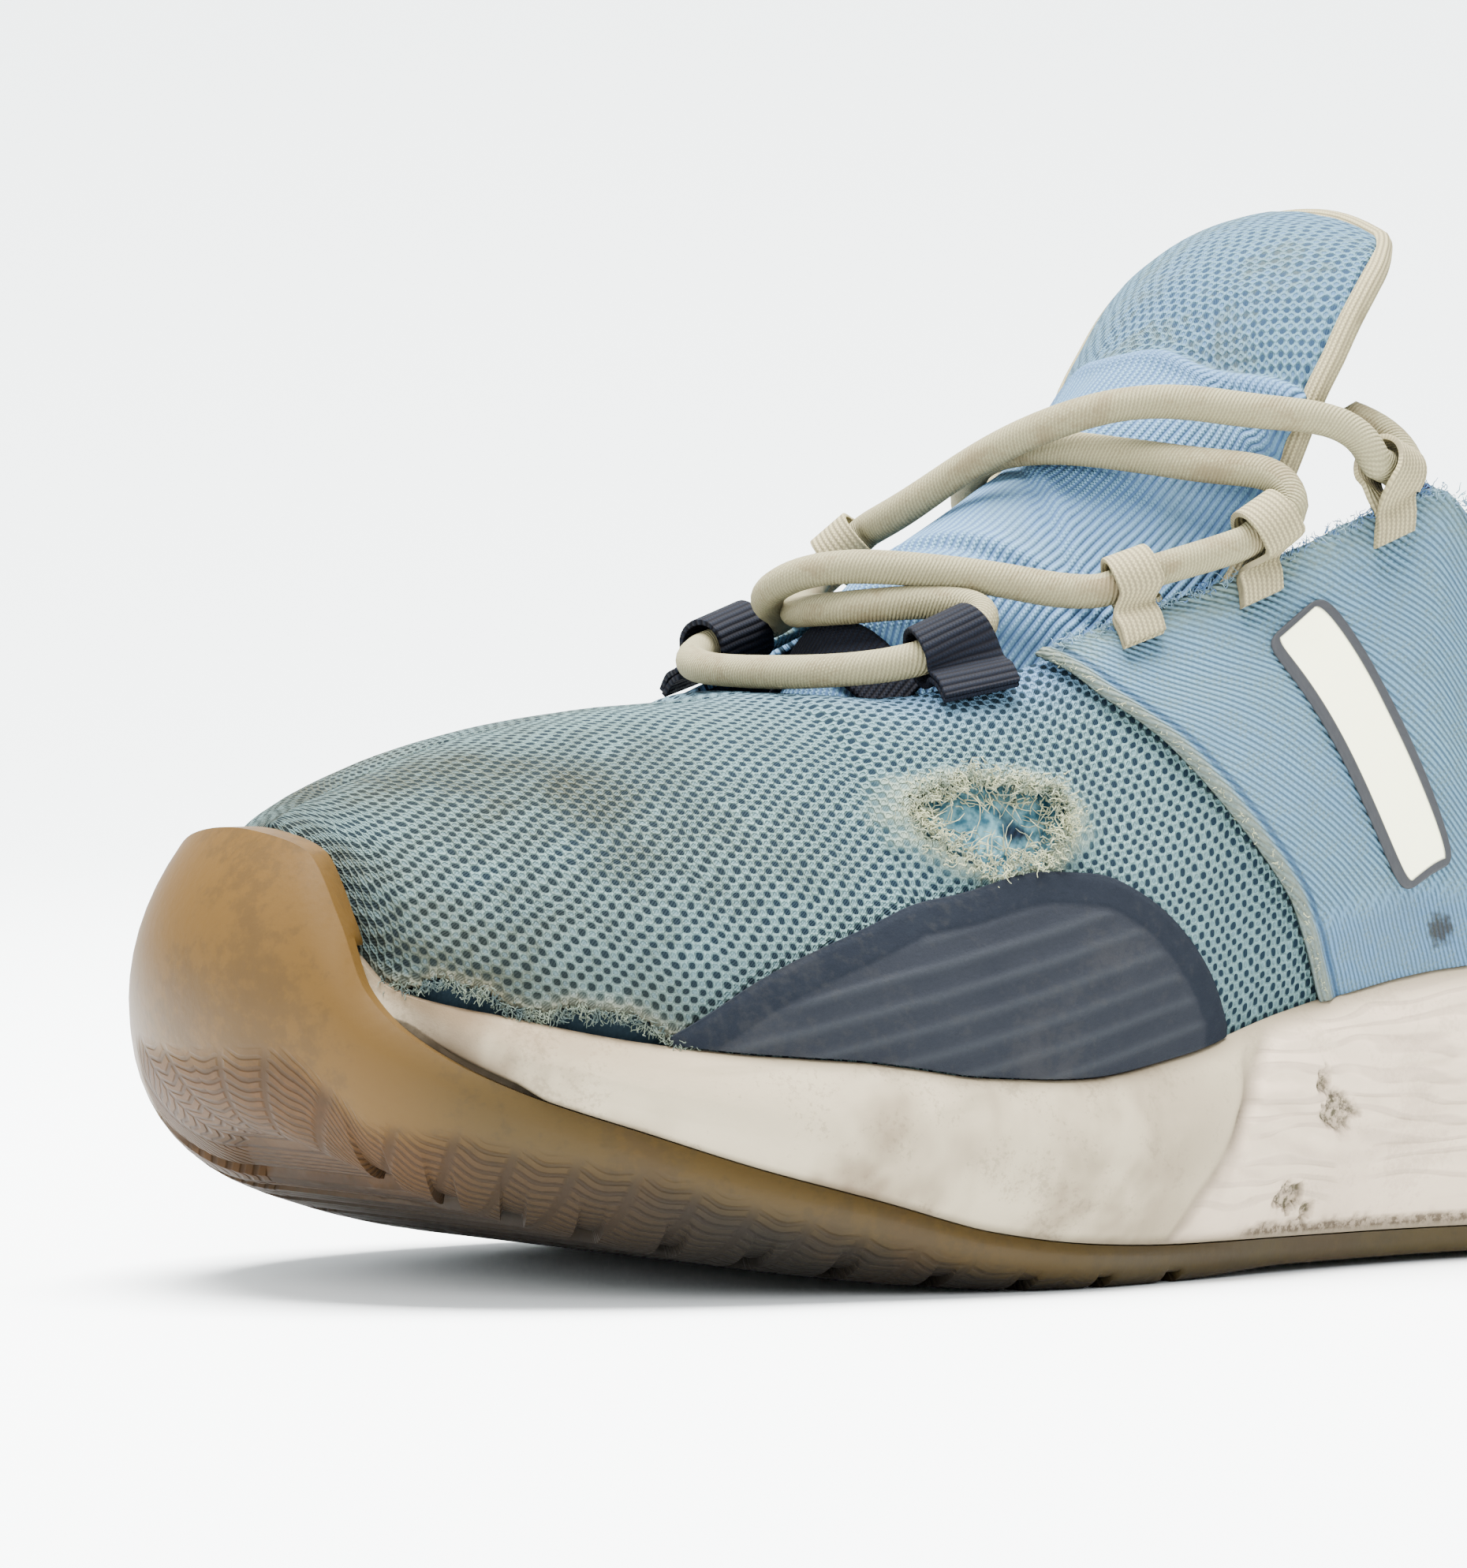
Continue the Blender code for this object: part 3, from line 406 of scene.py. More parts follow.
def tube_points(route, radius, sides):
    """Grid of points round a route; radius may vary along it."""
    _, side, lift = sweep_frames(route)
    around = np.linspace(0, math.tau, sides + 1)
    radius = np.broadcast_to(radius, len(route))[:, None, None]
    ring = side[:, None] * np.cos(around)[None, :, None] + lift[:, None] * np.sin(around)[None, :, None]
    return route[:, None] + ring * radius


def strands(name, routes, radius, finish):
    """Many thin yarns as one piece."""
    curve = bpy.data.curves.new(name, "CURVE")
    curve.dimensions = "3D"
    curve.bevel_depth = radius
    curve.bevel_resolution = 0
    for route in routes:
        spline = curve.splines.new("POLY")
        spline.points.add(len(route) - 1)
        spline.points.foreach_set("co", np.column_stack([route, np.ones(len(route))]).ravel())
        spline.points.foreach_set("radius", np.linspace(1, 0.45, len(route)))
    maker = bpy.data.objects.new(name + "_maker", curve)
    bpy.context.scene.collection.objects.link(maker)
    mesh = bpy.data.meshes.new_from_object(maker.evaluated_get(bpy.context.evaluated_depsgraph_get()))
    bpy.data.objects.remove(maker)
    mesh.materials.clear()
    mesh.materials.append(finish)
    mesh.shade_smooth()
    piece = bpy.data.objects.new(name, mesh)
    bpy.context.scene.collection.objects.link(piece)
    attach(piece, "root")
    return piece


def smooth_route(points, spacing):
    """Centripetal Catmull-Rom curve that keeps every point and adds even ones along each stretch."""
    points = np.vstack([2 * points[0] - points[1], points, 2 * points[-1] - points[-2]])
    knots = np.concatenate([[0], np.cumsum(np.linalg.norm(np.diff(points, axis=0), axis=1) ** 0.5)])
    curve = []
    for i in range(1, len(points) - 2):
        t0, t1, t2, t3 = knots[i - 1:i + 3]
        p0, p1, p2, p3 = points[i - 1:i + 3]
        parts = max(1, round(np.linalg.norm(p2 - p1) / spacing))
        for t in np.linspace(t1, t2, parts, endpoint=False):
            a1 = (t1 - t) / (t1 - t0) * p0 + (t - t0) / (t1 - t0) * p1
            a2 = (t2 - t) / (t2 - t1) * p1 + (t - t1) / (t2 - t1) * p2
            a3 = (t3 - t) / (t3 - t2) * p2 + (t - t2) / (t3 - t2) * p3
            b1 = (t2 - t) / (t2 - t0) * a1 + (t - t0) / (t2 - t0) * a2
            b2 = (t3 - t) / (t3 - t1) * a2 + (t - t1) / (t3 - t1) * a3
            curve.append((t2 - t) / (t2 - t1) * b1 + (t - t1) / (t2 - t1) * b2)
    return np.array(curve + [points[-2]])


# ---------------------------------------------------------------- sole

def tread_height(station, side):
    spot = rim_point(station, side, SIDE.at("tread_in", station), 0.0)
    return GROUND.at("height", LENGTH / 2 - spot[..., 1])


def inside_curve(station, side, top, steps):
    """Insets and heights of the face between rubber and foam, none of them above top."""
    rubber = side_value("rubber", station, side)
    upper_in = SIDE.at("low_in", station) + RUBBER_LIP
    floor_in = SIDE.at("tread_in", station) + 1.5 * MM
    ground = tread_height(station, side)
    floor = ground + np.minimum(RUBBER, rubber - ground - FIT)
    start = np.arcsin(np.clip((rubber - top) / (rubber - floor), 0, 1))
    angles = np.maximum(np.linspace(0, math.pi / 2, steps)[:, None], start)
    return upper_in + (floor_in - upper_in) * (1 - np.cos(angles)), rubber + (floor - rubber) * np.sin(angles)


def rubber_inside(station, side, gap, top=1.0, steps=5):
    insets, heights = inside_curve(station, side, top, steps)
    return [rim_point(station, side, inset + gap, height + gap) for inset, height in zip(insets, heights)]


def bumper_hood(station, side):
    """At the toe the rubber closes over the foam, as far as the upper."""
    rubber, foam = side_value("rubber", station, side), side_value("foam", station, side)
    hooded = (rubber >= foam + HOOD)[:, None]
    inset, bottom = SIDE.at("top_in", station) + LIP, foam + 2 * SOLE_FIT
    corners = (inset - 1.2 * MM, rubber), (inset, rubber - HOOD / 2), (inset, bottom)
    over = [rim_point(station, side, *corner) for corner in corners]
    over += rubber_inside(station, side, 0.0, bottom)
    plain = rubber_inside(station, side, 0.0)
    plain = plain[:1] * 3 + plain
    return [np.where(hooded, a, b) for a, b in zip(over, plain)]


BELT_ROW = 13           # row of the outside at the rubber's widest line
OUTSIDE_ROWS = 21


def rubber_outside(station, side):
    """Points from the tread's edge round the belt to the rubber's top edge."""
    tread_in, belt_in = SIDE.at("tread_in", station), SIDE.at("belt_in", station)
    low_in, top = SIDE.at("low_in", station), side_value("rubber", station, side)
    ground, belt = tread_height(station, side), SIDE.at("belt", station)
    points = []
    for t in np.linspace(0, 1, BELT_ROW + 1):
        inset = tread_in + (belt_in - tread_in) * math.sin(t * math.pi / 2)
        height = ground + (belt - ground) * (1 - math.cos(t * math.pi / 2))
        points.append(rim_point(station, side, inset, height))
    for t in np.linspace(0, 1, OUTSIDE_ROWS - BELT_ROW)[1:]:
        points.append(rim_point(station, side, belt_in + (low_in - belt_in) * t * t, belt + (top - belt) * t))
    return points


# Station, and how many mm below the rubber's top edge its tread pattern starts.
TREAD_START = ([0, 240, 252, 262, 273, 279, 285, 290], [3.4, 3.4, 3.4, 4.8, 7.0, 12.0, 22.0, 27.0])


def make_outsole(finish):
    grooves, walls = np.array(GROOVES)[:, None] * MM, np.array([-1.5, -1.2, 1.2, 1.5]) * MM
    station = np.sort(np.concatenate([station_at(np.linspace(0, math.pi, 380)), *(grooves + walls)]))
    away = np.min(np.abs(station - grooves), axis=0)
    lift = GROOVE_DEPTH * ease(away, GROOVE_WIDTH / 2 + GROOVE_WALL, GROOVE_WIDTH / 2)
    sides = []
    for side in (1, -1):
        outside = []
        for k, row in enumerate(rubber_outside(station, side)):
            share = max(0.0, 1 - 1.4 * min(k, BELT_ROW) / BELT_ROW)
            outside.append(row + [0, 0, 1.0] * (lift * share)[:, None])
        sides.append(outside + bumper_hood(station, side))
    ring = sides[0] + sides[1][::-1]
    points = np.stack(ring + ring[:1], 1)
    down, around = [], []
    for outer in sides:
        belt = outer[:OUTSIDE_ROWS]
        steps = [np.linalg.norm(belt[k + 1] - belt[k], axis=1) for k in range(OUTSIDE_ROWS - 1)]
        reach = [sum(steps[k:], 0 * station) for k in range(OUTSIDE_ROWS)]
        reach += [0 * station] * (len(outer) - OUTSIDE_ROWS)
        down += reach[::-1] if down else reach
        walked = walked_along(belt[BELT_ROW])
        around += [walked[-1] - walked] * len(outer)
    masks = {"down": np.stack(down + down[:1], 1) / MM, "around": np.stack(around + around[:1], 1) / MM,
             "start": np.interp(station / MM, *TREAD_START)[:, None], "station": station[:, None] / MM}
    piece = sheet("outsole_rubber", points, finish, masks=masks, weld=True, closed=True)
    piece.data.set_sharp_from_angle(angle=math.radians(40))
    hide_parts("outsole")


# Gouges in the foam's waist: station, height and half sizes, in mm.
GOUGES = [(155, 19.8, 3.4, 2.6), (157.5, 23.5, 1.6, 1.6), (162, 9.7, 2.8, 2.0), (158, 7.6, 1.6, 1.2)]


CREASE = (167, 27, 0.7)        # station and height of the crease's top, and how far it leans to the toe
TEAR_HEIGHT = 6.3              # of the torn line along the foam's foot
TEAR_ENDS = (118, 171)         # its stations


def foam_marks(station, height, side):
    """Outward moves of the foam's side in mm, and masks for its scars, its torn line, its waist and its
    crease (darkened with painted shade).
    """
    s, z = station / MM, height / MM
    at, up, lean = CREASE
    crease = at + (up - z) * lean + 1.0 * ripple(s, z, 3, 30)
    step = ease(s, crease + 1.0, crease - 1.5)
    groove = np.exp(-((s - crease) / 0.9) ** 2)
    groove += 0.6 * np.exp(-((s - crease + 5 - 0.25 * z) / 0.8) ** 2) * ease(z, 8, 14)
    bulge = step * 0.9 * np.exp(-((s - crease + 6) / 9) ** 2) - 0.6 * groove
    swirl = np.sin((z * 1.5 + 2.2 * np.sin(s * 0.16 + z * 0.15) + 0.5 * ripple(s, z, 8, 14)) * 1.25)
    leaf = step * ease(z, 8, 12) * 0.34 * swirl * (0.6 + 0.4 * ripple(s, z, 9, 11))
    scar = np.zeros_like(s)
    for at, up, long, high in GOUGES:
        edge = np.hypot((s - at) / long, (z - up) / high) + 0.35 * ripple(s, z, int(at), 3.2)
        scar = np.maximum(scar, ease(edge, 1.05, 0.7))
    tear_line = TEAR_HEIGHT + 0.012 * (s - 150) + 0.6 * ripple(s, z * 0, 12, 9)
    tear = ease(z, tear_line + 0.5, tear_line - 0.3)
    tear = tear * ease(s, TEAR_ENDS[1], TEAR_ENDS[1] - 5) * ease(s, TEAR_ENDS[0], TEAR_ENDS[0] + 12)
    outer = (side > 0) * 1.0
    dent = 0.12 * ripple(s, z, 21, 26) + 0.05 * ripple(s, z, 22, 7)
    move = bulge + leaf - outer * (1.1 * scar + 0.7 * tear) + dent
    return move * MM, outer * scar, outer * tear, step, groove


FOAM_ROWS = 44                 # rows up the foam's side
FOAM_EDGE = 0.955              # share of its height at which the side starts to round into its top


def make_midsole(finish):
    stops = np.concatenate([np.linspace(0, 120, 110), np.linspace(120, 185, 190)[1:],
                            np.linspace(185, 290, 150)[1:]])
    heel, toe = (np.linspace(start, start + 0.35, 14)[1:-1] for start in (0, math.pi - 0.35))
    station = np.sort(np.concatenate([np.clip(stops * MM, 0, LENGTH), station_at(heel), station_at(toe)]))
    rings, masks = [], {"scar": [], "tear": [], "waist": [], "crease": [], "low": []}
    for side in (1, -1):
        foam, rubber = side_value("foam", station, side), side_value("rubber", station, side)
        inner = SIDE.at("top_in", station) + LIP
        under = rubber_inside(station, side, SOLE_FIT, foam - FOAM_BEHIND)
        bumper = np.clip((station - BUMPER_FADE) / (BUMPER_START - BUMPER_FADE), 0, 1)
        behind = inside_curve(station, side, foam - FOAM_BEHIND, 5)[0][0] + SOLE_FIT
        low_in = (1 - bumper) * (SIDE.at("low_in", station) + 0.2 * MM) + bumper * behind
        low = np.minimum(rubber, foam - FOAM_BEHIND) + SOLE_FIT * ease(bumper, 0.0, 0.3) + 0.15 * MM
        top_in = SIDE.at("top_in", station)
        belly = 2 * bumper * (low_in + top_in) / 2 - (low_in + top_in) / 2
        outside, marks = [], []
        for t in np.linspace(0, 1, FOAM_ROWS):
            inset = np.maximum(low_in * (1 - t)**2 + 2 * belly * t * (1 - t) + top_in * t * t, 0.0)
            height = low + (foam - low) * t
            round_top = 0.8 * MM * max(0.0, t - FOAM_EDGE) / (1 - FOAM_EDGE)
            moved = foam_marks(station, height, side)
            fade = min(1.0, t * 12, (1 - t) * 10) * (1 - bumper)
            outside.append(rim_point(station, side, inset - moved[0] * fade + round_top, height))
            shown = min(1.0, t * 50, (1 - t) * 10) * (1 - bumper)
            marks.append([mask * shown for mask in moved[1:]] + [1 - t + 0 * station])
        cup = [rim_point(station, side, inner, height) for height in (foam, SIDE.at("bed", station))]
        none = [np.zeros_like(station)] * 4 + [np.ones_like(station)]
        above = [np.zeros_like(station)] * 5
        ring = under[::-1] + outside + cup
        ring_marks = [none] * len(under) + marks + [above] * 2
        rings.append(ring if side > 0 else ring[::-1])
        for k, label in enumerate(masks):
            column = [mark[k] for mark in ring_marks]
            masks[label] += column if side > 0 else column[::-1]
    ring = rings[0] + rings[1]
    for label in masks:
        masks[label] = np.stack(masks[label] + masks[label][:1], 1)
    masks["station"] = station[:, None] / MM
    piece = sheet("midsole_foam", np.stack(ring + ring[:1], 1), finish, masks=masks, weld=True, closed=True)
    piece.data.set_sharp_from_angle(angle=math.radians(50))
    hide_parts("midsole")


# ---------------------------------------------------------------- upper

HOLE = (204.4, 0.536, 11.0, 0.105)     # station and v of the worn hole, and its half sizes
HOLE_TILT = 0.5
TORN = (246.0, 281.5)                  # stations of the torn foot of the mesh


MESH_THICK, KNIT_THICK, PANEL_THICK = 0.9 * MM, 0.8 * MM, 0.7 * MM
LINING_DEPTH, LINING_THICK = 1.15 * MM, 0.6 * MM      # depth under the mesh's outer face
PATCH_FROM, PATCH_TO = 170.6, 250.5    # stations
PATCH_EVENING = 24      # rounds that even out the overlay along the foot
RIDGE_PITCH, RIDGE_SLOPE = 3.4, 0.22   # mm between the overlay's ridges, and how they rise towards the toe


def dense_turns(count):
    """Turns right round the foot, closer together on the outer forefoot."""
    turn = np.linspace(0, math.tau, 6001)
    station = station_at(turn) / MM
    spots = upper_point(station * MM, np.where(turn <= math.pi, 1.0, -1.0), 0.35)
    step = np.concatenate([[0], np.linalg.norm(np.diff(spots, axis=0), axis=1)])
    near = 1 + 1.5 * (turn < math.pi) * ease(station, 150, 170)
    walked = np.cumsum(step * near)
    return np.interp(np.linspace(0, walked[-1], count), walked, turn)


def hole_edge(station, v):
    """Distance from the worn hole's middle in station and v: 1 at its ragged edge."""
    at, up, long, high = HOLE
    s, h = (station / MM - at) / long, (v - up) / high
    cosine, sine = math.cos(HOLE_TILT), math.sin(HOLE_TILT)
    s, h = s * cosine - h * sine, s * sine + h * cosine
    ragged = 0.16 * ripple(station / MM, v * 80, 31, 9) + 0.08 * ripple(station / MM, v * 80, 32, 3)
    return np.hypot(s, h * 1.15) + ragged


def torn_height(station):
    """v up to which the mesh has worn away over the foam."""
    s = station / MM
    height = 0.042 + 0.03 * ripple(s, s * 0, 41, 16) + 0.012 * ripple(s, s * 0, 42, 3.5)
    return height * ease(s, TORN[0], TORN[0] + 9) * ease(s, TORN[1], TORN[1] - 7)


def grow(rows):
    """Repeats the first row for the one below it."""
    return np.concatenate([rows[:, :1], rows], 1)


def make_vamp(finish, inside):
    turn = dense_turns(430)
    station, side = station_at(turn)[:, None], np.where(turn <= math.pi, 1.0, -1.0)[:, None]
    v = np.linspace(0, 1, 84)[None, :] ** 1.06
    station_, side_, v_ = np.broadcast_arrays(station, side, v)
    s, outer = station_ / MM, side_ > 0
    edge = np.where(outer, hole_edge(station_, v_), 9)
    lift = 0.10 * ripple(s, v_ * 70 * side_, 51, 34) + 0.22 * ripple(s, v_ * 60, 52, 60) * ease(v_, 0.1, 0.4)
    lift += 0.9 * ease(edge, 1.75, 1.05) * ease(v_ - PATCH_EDGE.at("v", station_), 0.01, 0.05)
    fold = np.exp(-((s - 196 - 26 * v_) / 4.5) ** 2) * ease(v_, 0.45, 0.7)
    dip = np.exp(-((s - 187 - 24 * v_) / 4) ** 2) * ease(v_, 0.5, 0.8)
    lift += 0.5 * (fold - dip)
    torn = np.where(outer, torn_height(station_), 0)
    lift += 0.55 * outer * ease(v_ - torn, 0.05, 0.0) * ease(s, 244, 250) * ease(s, 284, 279)
    lift *= ease(v_, -0.01, 0.03)
    points = off_upper(station_, side_, v_, np.clip(lift, -0.3, 1.2) * MM)
    skirt = rim_point(station[:, 0], side[:, 0], SIDE.at("top_in", station[:, 0]) + LIP + FIT,
                      side_value("foam", station[:, 0], side[:, 0]) - 3 * MM)
    points = np.concatenate([skirt[:, None], points], 1)
    dirt = ease(s, 205, 272) * (0.75 + 0.35 * ripple(s, v_ * 80, 61, 40))
    dirt = dirt + 0.3 * ease(v_, 0.25, 0.0) * ease(s, 190, 230)
    loose = np.where(outer, ease(v_ - torn, 0.06, 0.0) * ease(s, 243, 250) * ease(s, 285, 280), 0)
    masks = {"worn": grow(ease(edge, 1.6, 1.05)), "dirt": grow(np.clip(dirt, 0, 1)), "torn": grow(loose),
             "throat": grow(ease(v_, 0.72, 0.98) * ease(s, 240, 200))}
    keep = grow((edge > 1) & ((v_ > torn) | (torn < 0.012)))
    keep[:, 0] = (torn < 0.012)[:, 0]
    piece = sheet("mesh_vamp", points, finish, masks=masks, keep=keep, weld=True, thickness=MESH_THICK,
                  flip=True, inside=inside)
    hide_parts("upper")


def make_lining(finish):
    turn = dense_turns(260)
    station, side = station_at(turn)[:, None], np.where(turn <= math.pi, 1.0, -1.0)[:, None]
    v = np.linspace(0, 0.985, 40)[None, :]
    station, side, v = np.broadcast_arrays(station, side, v)
    points = off_upper(station, side, v, 0 * v - LINING_DEPTH)
    foot = rim_point(station[:, 0], side[:, 0], SIDE.at("top_in", station[:, 0]) + LIP + FIT + LINING_DEPTH,
                     SIDE.at("bed", station[:, 0]) + FIT)
    points = np.concatenate([foot[:, None], points], 1)
    hole = np.where(side > 0, ease(hole_edge(station, v), 1.6, 1.2), 0)
    piece = sheet("vamp_lining", points, finish, masks={"teal": grow(hole), "station": grow(station) / MM},
                  weld=True, thickness=LINING_THICK, flip=True)
    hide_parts("upper")


def make_quarter(finish):
    across = np.linspace(-1, 1, 420)
    v = np.linspace(0.0, 1.0, 70)
    front = turn_at(QUARTER_SEAM.at("station", v))
    turn = across[:, None] * front[None, :]
    station, side = station_at(np.abs(turn)), np.where(turn >= 0, 1.0, -1.0)
    v = np.broadcast_to(v[None, :], turn.shape)
    s = station / MM
    gap = QUARTER_SEAM.at("station", v) / MM - s          # mm behind the seam
    hem = np.exp(-((gap - 1.1) / 0.9) ** 2)
    lift = QUARTER_LIFT / MM + 0.3 * hem - 0.35 * np.exp(-((gap - 2.9) / 0.8) ** 2)
    lift += 0.16 * ripple(s, v * 70, 71, 26) + 0.25 * ease(v, 0.82, 0.97) * (1 + ripple(s, v * 60, 72, 5))
    lift -= 0.3 * ease(gap, 1.2, 0)
    points = off_upper(station, side, v, np.clip(lift, 0.8, 3.2) * MM)
    uv = fit_uv(points)
    uv[..., 0] -= uv[-1:, :, 0]
    masks = {"gap": gap, "top": ease(v, 0.84, 0.99), "low": v, "outer": (side > 0) * 1.0}
    piece = sheet("knit_quarter", points, finish, uv=uv, masks=masks, thickness=KNIT_THICK, flip=True)
    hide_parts("quarter")


def make_patch(finish):
    station = np.linspace(PATCH_FROM, PATCH_TO, 200)[:, None] * MM
    t = np.linspace(0, 1, 90)[None, :]
    top = PATCH_EDGE.at("v", station)
    v = 0.006 + (top - 0.006) * t
    station, v = np.broadcast_arrays(station, v)
    s = station / MM
    spots = off_upper(station, 1.0, v, PATCH_LIFT + 0 * v)
    rim = np.concatenate([spots[:, -1], spots[0], spots[-1]])[::4]
    border = np.min(np.linalg.norm(spots[:, :, None] - rim[None, None], axis=-1), axis=2) / MM
    slant = (spots[..., 2] / MM + RIDGE_SLOPE * (s - 170)) % RIDGE_PITCH
    ridge = np.exp(-((slant - RIDGE_PITCH / 2) / 0.55) ** 2) * ease(border, 4.2, 5.5)
    edge_drop = ease(border, 1.1, 0.0)
    lift = PATCH_LIFT / MM + 0.3 * ridge - 0.35 * edge_drop + 0.12 * ease(border, 4.3, 3.8)
    points = off_upper(station, 1.0, v, lift * MM)
    for _ in range(PATCH_EVENING):
        points[1:-1] = (points[:-2] + 2 * points[1:-1] + points[2:]) / 4
    masks = {"border": ease(border, 4.4, 3.9), "ridge": ridge}
    piece = sheet("forefoot_overlay", points, finish, masks=masks, thickness=KNIT_THICK, flip=True)
    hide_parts("forefoot_patch")


PANEL = (147.0, 0.50, 4.3, 0.31, 10.0, 0.03)   # station, v, half sizes, lean of its top to the toe, slope


def make_panel(finish):
    """A plain rounded, leaning panel with a grey edge on the outer quarter."""
    at, up, long, high, lean, slope = PANEL
    x, y = np.linspace(-1, 1, 60)[:, None], np.sin(np.linspace(-math.pi / 2, math.pi / 2, 80))[None, :]
    squeeze = (1 - np.abs(y) ** 14) ** 0.2
    x, y, squeeze = np.broadcast_arrays(x, y, squeeze)
    s = at + long * x * squeeze + lean * y
    v = up + high * y - slope * x * squeeze
    inside = np.minimum((1 - np.abs(x)) * long * squeeze, (1 - np.abs(y)) * high * 70)    # mm to its edge
    edge = ease(inside, 1.35, 1.15)
    lift = QUARTER_LIFT / MM + 0.55 + 0.12 * edge - 0.3 * ease(inside, 0.3, 0.0)
    points = off_upper(s * MM, 1.0, v, lift * MM)
    piece = sheet("side_panel", points, finish, masks={"border": edge}, thickness=PANEL_THICK, weld=True,
                  flip=True)


# ---------------------------------------------------------------- tongue and collar

SLEEVE_END = 0.71
BINDING_RADIUS = 1.55 * MM


def tongue_hem(w):
    """Run at which the ribbed sleeve of the tongue ends."""
    return SLEEVE_END + np.where(w > 0, 0.09, 0.03) * w ** 2 + 0.005 * np.sin(w * 9)


TONGUE_CREASES = ((0.33, 0.10, 0.5), (0.52, -0.12, 0.35), (0.60, 0.16, 0.3))      # run, slope, depth in mm


def make_tongue(finish, binding):
    run = np.concatenate([np.linspace(0, 0.6, 120), np.linspace(0.6, 0.9, 110)[1:],
                          np.linspace(0.9, 1.0, 30)[1:]])
    w = np.linspace(-1, 1, 110)
    run, w = np.broadcast_arrays(run[:, None], w[None, :])
    below = (tongue_hem(w) - run) * 100            # about mm below the hem
    lift = TONGUE_STEP / MM * ease(below, -0.3, 0.5) + 0.35 * np.exp(-((below - 1.3) / 0.8) ** 2)
    lift += 0.28 * ripple(run * 100, w * 25, 81, 34) * ease(run, 0.1, 0.25)
    for at, slope, depth in TONGUE_CREASES:
        line = (run - at - slope * w) * 100
        fold = np.exp(-((line - 1.6) / 1.5) ** 2) - np.exp(-((line + 0.6) / 1.1) ** 2)
        lift += depth * fold * ease(w, -0.6, 0.3)
    lift -= 1.2 * ease(np.abs(w), 0.9, 1.0) ** 2 + 0.7 * ease(run, 0.985, 1.0)
    points = off_tongue(run, w, np.maximum(lift, -1.4) * MM)
    masks = {"sleeve": ease(below, -0.1, 0.4), "hem": np.exp(-((below - 1.3) / 0.9) ** 2)}
    piece = sheet("tongue_pad", points, finish, masks=masks, flip=True)
    add_wall(piece, TONGUE_PAD - 1.2 * MM, -1).use_even_offset = True
    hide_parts("tongue")
    edge_run = np.concatenate([np.linspace(0.5, 1, 40), np.full(30, 1.0), np.linspace(1, 0.5, 40)])
    edge_w = np.concatenate([np.ones(40), np.linspace(1, -1, 32)[1:-1], -np.ones(40)])
    route = off_tongue(edge_run, edge_w, -1.5 * MM + 0 * edge_w)
    route = smooth_route(route[np.r_[0:40:3, 40:70:2, 70:110:3]], 1.5 * MM)
    band = sheet("tongue_binding", tube_points(route, BINDING_RADIUS, 12), binding, weld=True, closed=True)
    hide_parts("tongue")


# Section of the collar's pad: v (thousandths) and height over the upper's outer face in mm.
COLLAR = np.array([
    (620, -2.4), (800, -2.5), (985, -2.4), (1030, -2.3), (1052, -3.2), (1030, -4.6), (950, -6.2), (800, -6.7),
    (680, -4.8), (630, -3.4)])


def make_collar(finish):
    front = float(turn_at(139 * MM))
    profile = smooth_route(np.column_stack([COLLAR[:, 0] / 100, COLLAR[:, 1], COLLAR[:, 0] * 0]), 0.3)
    turn = np.linspace(-front, front, 220)[:, None]
    v, depth = profile[None, :, 0] / 10, profile[None, :, 1]
    station, side = station_at(np.abs(turn)), np.where(turn >= 0, 1.0, -1.0)
    station, side, v, depth = np.broadcast_arrays(station, side, v, depth)
    soft = 0.2 * ripple(station / MM, v * 60, 91, 22) * ease(depth, -3, -5)
    points = off_upper(station, side, v, (depth + soft) * MM)
    points = np.concatenate([points, points[:, :1]], 1)
    piece = sheet("collar_pad", points, finish, weld=True, closed=True)
    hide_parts("collar_lining")


def make_tab(finish):
    w, run = np.linspace(-0.62, 0.74, 90)[:, None], np.linspace(0.142, 0.205, 14)[None, :]
    w, run = np.broadcast_arrays(w, run)
    high = TONGUE_STEP + 1.5 * FIT + 0.7 * MM - 0.25 * MM * (ease(run, 0.147, 0.142) + ease(run, 0.2, 0.205))
    piece = sheet("lace_tab_strip", off_tongue(run, w, high), finish, thickness=0.6 * MM)
    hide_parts("lace_tab")


# ---------------------------------------------------------------- loops and lace

def lace_knots():
    """The lace's route in order: each place, and the name of its loop where it runs through one."""
    knots = []
    for row in LACE:
        if row[0] == "at":
            knots.append((place(row[1] * MM, row[2] * MM, row[3] * MM), None))
        elif isinstance(row[0], str):
            _, _, _, along, across, height = LOOPS[row[0]]
            knots.append((place(along * MM, across * MM, height * MM), row[0]))
        else:
            run, w, lift = row
            knots.append((off_tongue(run / 1000, w / 1000, TONGUE_STEP + lift * MM), None))
    return knots


def lace_points():
    """Points of the route, straight through each loop, and each loop's middle with the lace's direction."""
    knots = lace_knots()
    points, held = [], {}
    for k, (middle, name) in enumerate(knots):
        if name is None:
            points.append(middle)
            continue
        direction = knots[min(k + 1, len(knots) - 1)][0] - knots[max(k - 1, 0)][0]
        direction = unit(direction)
        reach = direction * (LOOPS[name][2] * MM / 2 + STRAIGHT)
        points += [middle - reach, middle, middle + reach]
        held[name] = (middle, direction)
        if k == 0:
            points.insert(0, middle - reach - direction * LACE_TAIL)
    return np.array(points), held


LOOP_WRAP = 138            # degrees that a loop turns round its cord, to each side
LACE_SIDES = 20
LACE_ROUND = 14            # mm of weave round the lace
LACE_KEPT, LACE_FREE = 3.5 * MM, 8 * MM      # from a loop's middle: as laid, and freely evened out
LACE_EVENING = 26          # rounds


